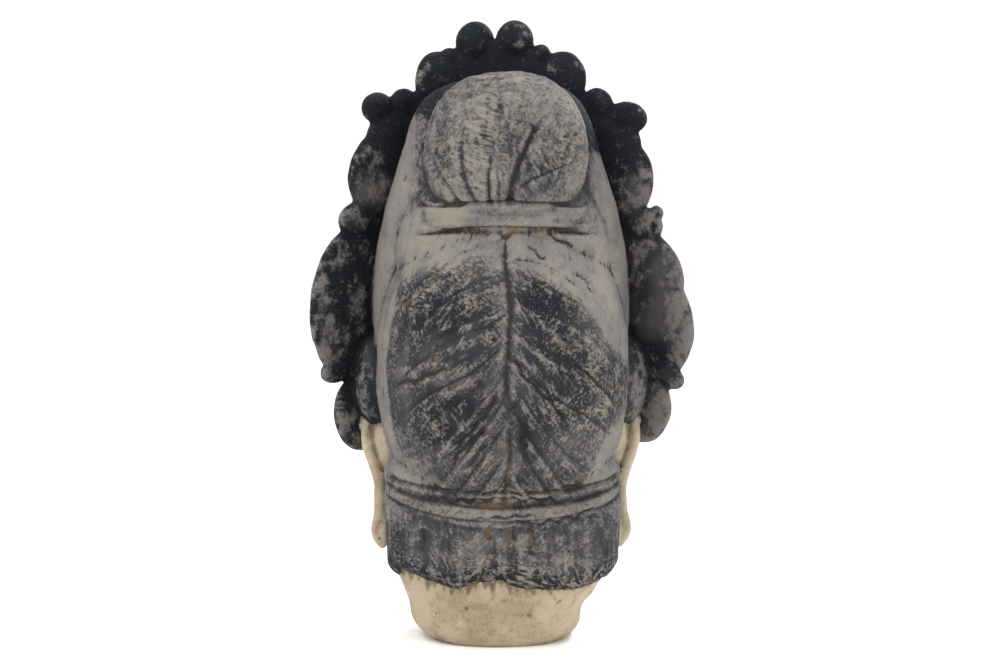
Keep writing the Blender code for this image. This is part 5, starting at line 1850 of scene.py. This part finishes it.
def painted_plaster(finish):
    paint = Paint("painted_plaster")
    place = paint.node("ShaderNodeTexCoord").outputs["Object"]
    strand = paint.kept_place("strand")
    coat = paint.kept("coat")
    tone = paint.kept("tone")
    grain = paint.kept("grain")
    crown = paint.kept("crown")
    ridge = paint.kept("ridge")
    basin = paint.kept("basin")

    cloud = paint.noise(place, CLOUD_WAVES, 4.0)
    drift = paint.noise(paint.stretched(place, DRIFT_STRETCH), DRIFT_WAVES, 3.0)
    mottle = paint.noise(place, MOTTLE_WAVES, 5.0, 0.62)
    speckle = paint.noise(place, SPECKLE_WAVES, 4.0, 0.65)
    grit = paint.noise(place, GRIT_WAVES, 2.0)
    drawn = paint.noise(paint.stretched(strand, HAIR_STRETCH), HAIR_WAVES, 4.0, 0.62)
    hole = paint.spots(place, PITS)
    pinhole = paint.spots(place, PINHOLES)

    # Dry strokes: with the combed hair, and in patches across it at three turns.
    # For each: its turn, its waves to the metre, and where its patches are
    stroked = drawn
    for turn, waves, patches in (
        (0.5, 560.0, drift.rise(0.50, 0.58)),
        (-0.65, 600.0, drift.rise(0.44, 0.38)),
        (1.35, 520.0, cloud.rise(0.56, 0.62)),
    ):
        stroked = paint.blend(stroked, paint.strokes(place, turn, waves), patches)

    # Charcoal, worn back to the dust on all that stands proud
    pale = 1.0 - tone + 0.36 * ridge + 0.22 * basin + 1.4 * (cloud - 0.5) + 1.2 * (mottle - 0.5)
    pale = pale + crown * (3.2 * (drift - 0.5) + 2.2 * (mottle - 0.5))
    pale = pale + grain * (3.6 * (stroked - 0.5) + 1.2 * (speckle - 0.5))
    brushed = pale.rise(-0.05, 1.08)
    dust = paint.mix(rgba(finish.dust), rgba(finish.violet_dust), drift.rise(0.42, 0.62))
    warm = (cloud + 0.4 * (mottle - 0.5)).rise(0.50, 0.66)
    dust = paint.mix(dust, rgba(finish.ochre_dust), warm * 0.7)
    dust = paint.mix(dust, rgba(finish.umber_dust), crown)
    blackened = (tone + 0.5 * (cloud - 0.5)).rise(0.72, 1.05)
    slate = paint.mix(rgba(finish.slate), rgba(finish.umber_dust), drift.rise(0.52, 0.36) * 0.35)
    slate = paint.mix(slate, rgba(finish.charcoal), blackened)
    coating = paint.mix(slate, dust, brushed)
    scratched = (stroked + 0.1 * (mottle - 0.5)).rise(0.60, 0.70) * grain
    coating = paint.mix(coating, rgba(finish.scuff), scratched * 0.6 * finish.wear)
    creased = stroked.rise(0.42, 0.32) * (0.12 + 0.5 * grain)
    coating = paint.mix(coating, rgba(finish.slate), creased * finish.wear)
    scuffs = (mottle + 0.5 * (speckle - 0.5) + 0.06 * ridge).rise(0.62, 0.72)
    coating = paint.mix(coating, rgba(finish.scuff), scuffs * (0.3 - 0.15 * crown) * finish.wear)

    # Bare plaster, stained, with dirt and painted shade in its hollows
    browned = (cloud + 0.3 * (mottle - 0.5)).rise(0.44, 0.66)
    plaster = paint.mix(rgba(finish.plaster), rgba(finish.tan), browned)
    plaster = paint.mix(plaster, rgba(finish.lichen), drift.rise(0.52, 0.66) * 0.4)
    # Earth with painted shade in the plaster's hollows, and with random stains
    stained_and_shaded = (0.40 - 0.50 * basin - 0.45 * ridge + 0.9 * (mottle - 0.5)).rise(0.50, 1.15)
    plaster = paint.mix(plaster, rgba(finish.earth_and_shade), stained_and_shaded * 0.6)
    pits = (1.0 - hole.rise(0.04, 0.13)) * mottle.rise(0.53, 0.60)
    pits = pits + (1.0 - pinhole.rise(0.06, 0.2)) * speckle.rise(0.54, 0.62) * 0.5
    plaster = paint.mix(plaster, rgba(finish.earth_and_shade), pits * 0.5)
    # Painted shade in the lines and hollows of the face, in earth colour
    plaster = paint.mix(plaster, rgba(finish.earth_and_shade), paint.kept("washed") * finish.dirt_and_shade)
    peppered = (speckle + 0.9 * (mottle - 0.5) + 0.5 * (cloud - 0.5)).rise(0.60, 0.74)
    plaster = paint.mix(plaster, rgba(finish.earth_and_shade), peppered * 0.4 * finish.wear)

    # The paint's edge is ragged, and small losses show the plaster through it
    edge = (coat + 3.0 * (mottle - 0.5) + 2.0 * (speckle - 0.5)).rise(-0.3, 0.7)
    losses = (speckle + 0.2 * ridge - 0.1 * tone).rise(0.70, 0.78) * 0.5
    colour = paint.mix(plaster, coating, edge * (1.0 - losses))

    # Painted shade and dirt in what is cut deepest, and earth caught in a few places
    settled_and_shaded = (0.10 - 0.75 * ridge - 0.35 * basin + 0.9 * (mottle - 0.5)).rise(0.62, 1.25)
    caught = (paint.kept("earthy") + 2.0 * (mottle - 0.5) - 0.4 * ridge).rise(0.50, 1.05)
    # Near-black painted shade, with dirt, in all that is sunk on the paint
    colour = paint.mix(colour, rgba(finish.shade_and_soot), (-ridge - 0.2 * basin).rise(0.50, 1.0) * 0.75 * edge)
    # Earth brown, with painted shade, in all that is cut deepest
    colour = paint.mix(colour, rgba(finish.earth_and_shade), settled_and_shaded * (0.25 - 0.2 * crown) * finish.dirt_and_shade)
    colour = paint.mix(colour, rgba(finish.ochre), caught * finish.dirt_and_shade)

    roughness = 0.80 + 0.10 * brushed * edge + 0.16 * (mottle - 0.5)
    height = (0.3 + 0.5 * grain) * stroked * edge
    height = height + (0.2 + 0.4 * grain) * speckle + 0.15 * grit + 0.3 * mottle
    height = height - 0.9 * pits * (1.0 - edge)
    return paint.surface(colour, roughness, height, finish.emboss)


# Stage


# Lights: degrees aside of the camera and up, distance, size, and the setting of their power
LIGHTS = (
    ("key_light", -38.0, 52.0, 1.5, 0.9, "key"),
    ("fill_light", 52.0, 22.0, 1.7, 1.1, "fill"),
    ("face_light", 140.0, 38.0, 1.5, 0.5, "face"),
)
LIGHT_COLOUR = (1.0, 0.99, 0.97)
FLOOR_HALF = 12.0
FLOOR_CORNERS = 96
# Waves to the metre of the floor's clouds and of its grain, how dark the clouds are, its grain's
# depth, and its roughness
FLOOR_CLOUDS = 1.5
FLOOR_GRAIN = 60.0
FLOOR_SHADE = 0.985
FLOOR_EMBOSS = 0.0002
FLOOR_ROUGHNESS = 0.9
# Width of the camera's sensor in millimetres
SENSOR_WIDTH = 36.0


def stage_paint(colour):
    paint = Paint("pale_floor")
    place = paint.node("ShaderNodeTexCoord").outputs["Object"]
    cloud = paint.noise(place, FLOOR_CLOUDS, 3.0)
    shade = paint.mix(rgba(colour), rgba([FLOOR_SHADE * c for c in colour]), cloud)
    grain = paint.noise(place, FLOOR_GRAIN, 2.0)
    return paint.surface(shade, FLOOR_ROUGHNESS, grain, FLOOR_EMBOSS)


def aimed(obj, place, target):
    """Puts an object at a place, looking at a target."""
    obj.location = place
    obj.rotation_euler = (Vector(place) - Vector(target)).to_track_quat("Z", "Y").to_euler()
    bpy.context.scene.collection.objects.link(obj)
    return obj


def seen_from(azimuth, elevation, far, target):
    """A place far from the target; an azimuth of 0 looks along +Y."""
    level = math.cos(elevation)
    way = Vector((math.sin(azimuth) * level, -math.cos(azimuth) * level, math.sin(elevation)))
    return Vector(target) + way * far


def soft_light(name, place, size, power, target):
    lamp = bpy.data.lights.new(name, "AREA")
    lamp.shape = "DISK"
    lamp.size = size
    lamp.energy = power
    lamp.color = LIGHT_COLOUR
    return aimed(bpy.data.objects.new(name, lamp), place, target)


def floor_plate():
    bm = bmesh.new()
    bmesh.ops.create_circle(bm, cap_ends=True, segments=FLOOR_CORNERS, radius=FLOOR_HALF)
    mesh = bpy.data.meshes.new("pale_floor")
    bm.to_mesh(mesh)
    bm.free()
    plate = bpy.data.objects.new("pale_floor", mesh)
    bpy.context.scene.collection.objects.link(plate)
    return plate


# Add-on


class CastingSettings(bpy.types.PropertyGroup):
    grid: bpy.props.FloatProperty(
        name="Casting Grid",
        description="Grid that the forms are joined on, in parts of the height",
        default=1.25,
        min=0.8,
        subtype="DISTANCE",
    )
    softening: bpy.props.IntProperty(
        name="Softening",
        description="Passes that soften the joints between the forms",
        default=5,
        min=0,
    )
    triangles: bpy.props.IntProperty(
        name="Triangles",
        description="Triangles in the finished casting",
        default=190000,
        min=20000,
    )


def colour_property(name, description, default):
    return bpy.props.FloatVectorProperty(
        name=name, description=description, default=default, size=3, subtype="COLOR", min=0.0, max=1.0
    )


class FinishSettings(bpy.types.PropertyGroup):
    plaster: colour_property("Plaster", "Bare plaster of the face and neck", (0.455, 0.376, 0.272))
    tan: colour_property("Tan", "Plaster where it has browned", (0.350, 0.275, 0.185))
    lichen: colour_property("Grey Stain", "Grey-green stain on the plaster", (0.270, 0.265, 0.205))
    # Earth, also used for painted shade in hollows and in the lines of the face
    earth_and_shade: colour_property("Earth", "Earth in the grooves", (0.105, 0.060, 0.028))
    ochre: colour_property("Ochre", "Earth caught in a few places", (0.160, 0.092, 0.045))
    # Near-black painted shade, with dirt, for what is sunk in the paint
    shade_and_soot: colour_property("Soot", "Darkest dirt", (0.012, 0.011, 0.012))
    dust: colour_property("Dust", "Pale dust brushed over the hair", (0.200, 0.181, 0.165))
    violet_dust: colour_property("Violet Dust", "Cooler dust", (0.160, 0.145, 0.146))
    ochre_dust: colour_property("Ochre Dust", "Warmer dust", (0.235, 0.208, 0.165))
    umber_dust: colour_property("Umber Dust", "Browner dust behind the crown", (0.152, 0.140, 0.134))
    slate: colour_property("Slate", "Charcoal paint, worn", (0.040, 0.040, 0.044))
    charcoal: colour_property("Charcoal", "Charcoal paint, unworn", (0.009, 0.011, 0.015))
    scuff: colour_property("Scuffs", "Scratches and scuffs on the paint", (0.220, 0.208, 0.195))
    wear: bpy.props.FloatProperty(
        name="Wear",
        description="How strongly the paint is scuffed",
        default=0.8,
        min=0.0,
        max=1.0,
        subtype="FACTOR",
    )
    # Strength of the earth in grooves, with its painted shade, and of the painted shade in the face's
    # lines
    dirt_and_shade: bpy.props.FloatProperty(
        name="Dirt",
        description="How much earth has settled in the grooves",
        default=0.85,
        min=0.0,
        max=1.0,
        subtype="FACTOR",
    )
    emboss: bpy.props.FloatProperty(
        name="Grain Depth",
        description="Depth of the grain and brush marks",
        default=0.0014,
        min=0.0,
        unit="LENGTH",
    )


class StageSettings(bpy.types.PropertyGroup):
    floor: colour_property("Floor", "Colour of the floor", (0.98, 0.98, 0.98))
    backdrop: colour_property("Backdrop", "Colour of the surroundings", (1.0, 1.0, 1.0))
    glow: bpy.props.FloatProperty(
        name="Surrounding Light",
        description="Strength of the light from all round",
        default=1.06,
        min=0.0,
    )
    key: bpy.props.FloatProperty(
        name="Key Light",
        description="Power of the main soft light",
        default=12.0,
        unit="POWER",
    )
    fill: bpy.props.FloatProperty(
        name="Fill Light",
        description="Power of the lesser lights",
        default=4.0,
        unit="POWER",
    )
    face: bpy.props.FloatProperty(
        name="Face Light",
        description="Power of the light on the face",
        default=20.0,
        unit="POWER",
    )
    azimuth: bpy.props.FloatProperty(
        name="Azimuth",
        description="Direction of the camera; 0 looks along +Y",
        default=math.radians(177.5),
        subtype="ANGLE",
    )
    elevation: bpy.props.FloatProperty(
        name="Elevation",
        description="Height of the camera over level",
        default=math.radians(6.0),
        subtype="ANGLE",
    )
    distance: bpy.props.FloatProperty(
        name="Distance",
        description="From the camera to what it looks at",
        default=1.71,
        unit="LENGTH",
    )
    target: bpy.props.FloatVectorProperty(
        name="Target",
        description="What the camera looks at",
        default=(0.0016, 0.0, 0.2207),
        size=3,
        subtype="TRANSLATION",
    )
    lens: bpy.props.FloatProperty(
        name="Lens",
        description="Focal length in millimetres",
        default=85.0,
        min=10.0,
    )


class PLASTERHEAD_OT_cast(bpy.types.Operator):
    """Cast the crowned head, carve it finely and paint it"""

    bl_idname = "plasterhead.cast"
    bl_label = "Cast and Paint Head"

    def execute(self, context):
        head = cast_head(context.scene.plasterhead_casting)
        head.data.materials.append(painted_plaster(context.scene.plasterhead_finish))
        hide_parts(SOLID)
        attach(head, "root")
        return {"FINISHED"}


class PLASTERHEAD_OT_stage(bpy.types.Operator):
    """Lay the floor, hang the soft lights and place the camera"""

    bl_idname = "plasterhead.stage"
    bl_label = "Set Stage"

    def execute(self, context):
        settings = context.scene.plasterhead_stage
        floor = floor_plate()
        floor.data.materials.append(stage_paint(settings.floor))
        world = bpy.data.worlds.new("soft_surroundings")
        world.use_nodes = True
        glow = world.node_tree.nodes["Background"]
        glow.inputs["Color"].default_value = rgba(settings.backdrop)
        glow.inputs["Strength"].default_value = settings.glow
        context.scene.world = world
        middle = tuple(settings.target)
        turn = settings.azimuth
        for name, aside, up, far, size, power in LIGHTS:
            place = seen_from(turn + math.radians(aside), math.radians(up), far, middle)
            soft_light(name, place, size, getattr(settings, power), middle)
        lens = bpy.data.cameras.new("photo_camera")
        lens.lens = settings.lens
        lens.sensor_width = SENSOR_WIDTH
        place = seen_from(turn, settings.elevation, settings.distance, middle)
        context.scene.camera = aimed(bpy.data.objects.new("photo_camera", lens), place, middle)
        context.scene.view_settings.view_transform = "Standard"
        return {"FINISHED"}


class PLASTERHEAD_PT_panel(bpy.types.Panel):
    """The head's pieces and settings"""

    bl_label = "Plaster Head"
    bl_idname = "PLASTERHEAD_PT_panel"
    bl_space_type = "VIEW_3D"
    bl_region_type = "UI"
    bl_category = "Plaster Head"

    def draw(self, context):
        for operator, group in (
            (PLASTERHEAD_OT_cast, context.scene.plasterhead_casting),
            (None, context.scene.plasterhead_finish),
            (PLASTERHEAD_OT_stage, context.scene.plasterhead_stage),
        ):
            box = self.layout.box()
            for name in group.__annotations__:
                box.prop(group, name)
            if operator:
                box.operator(operator.bl_idname)


CLASSES = (
    CastingSettings,
    FinishSettings,
    StageSettings,
    PLASTERHEAD_OT_cast,
    PLASTERHEAD_OT_stage,
    PLASTERHEAD_PT_panel,
)


def register():
    for kind in CLASSES:
        bpy.utils.register_class(kind)
    bpy.types.Scene.plasterhead_casting = bpy.props.PointerProperty(type=CastingSettings)
    bpy.types.Scene.plasterhead_finish = bpy.props.PointerProperty(type=FinishSettings)
    bpy.types.Scene.plasterhead_stage = bpy.props.PointerProperty(type=StageSettings)


def unregister():
    del bpy.types.Scene.plasterhead_stage
    del bpy.types.Scene.plasterhead_finish
    del bpy.types.Scene.plasterhead_casting
    for kind in reversed(CLASSES):
        bpy.utils.unregister_class(kind)


def main():
    register()
    bpy.ops.plasterhead.cast()
    bpy.ops.plasterhead.stage()


if __name__ == "__main__":
    main()
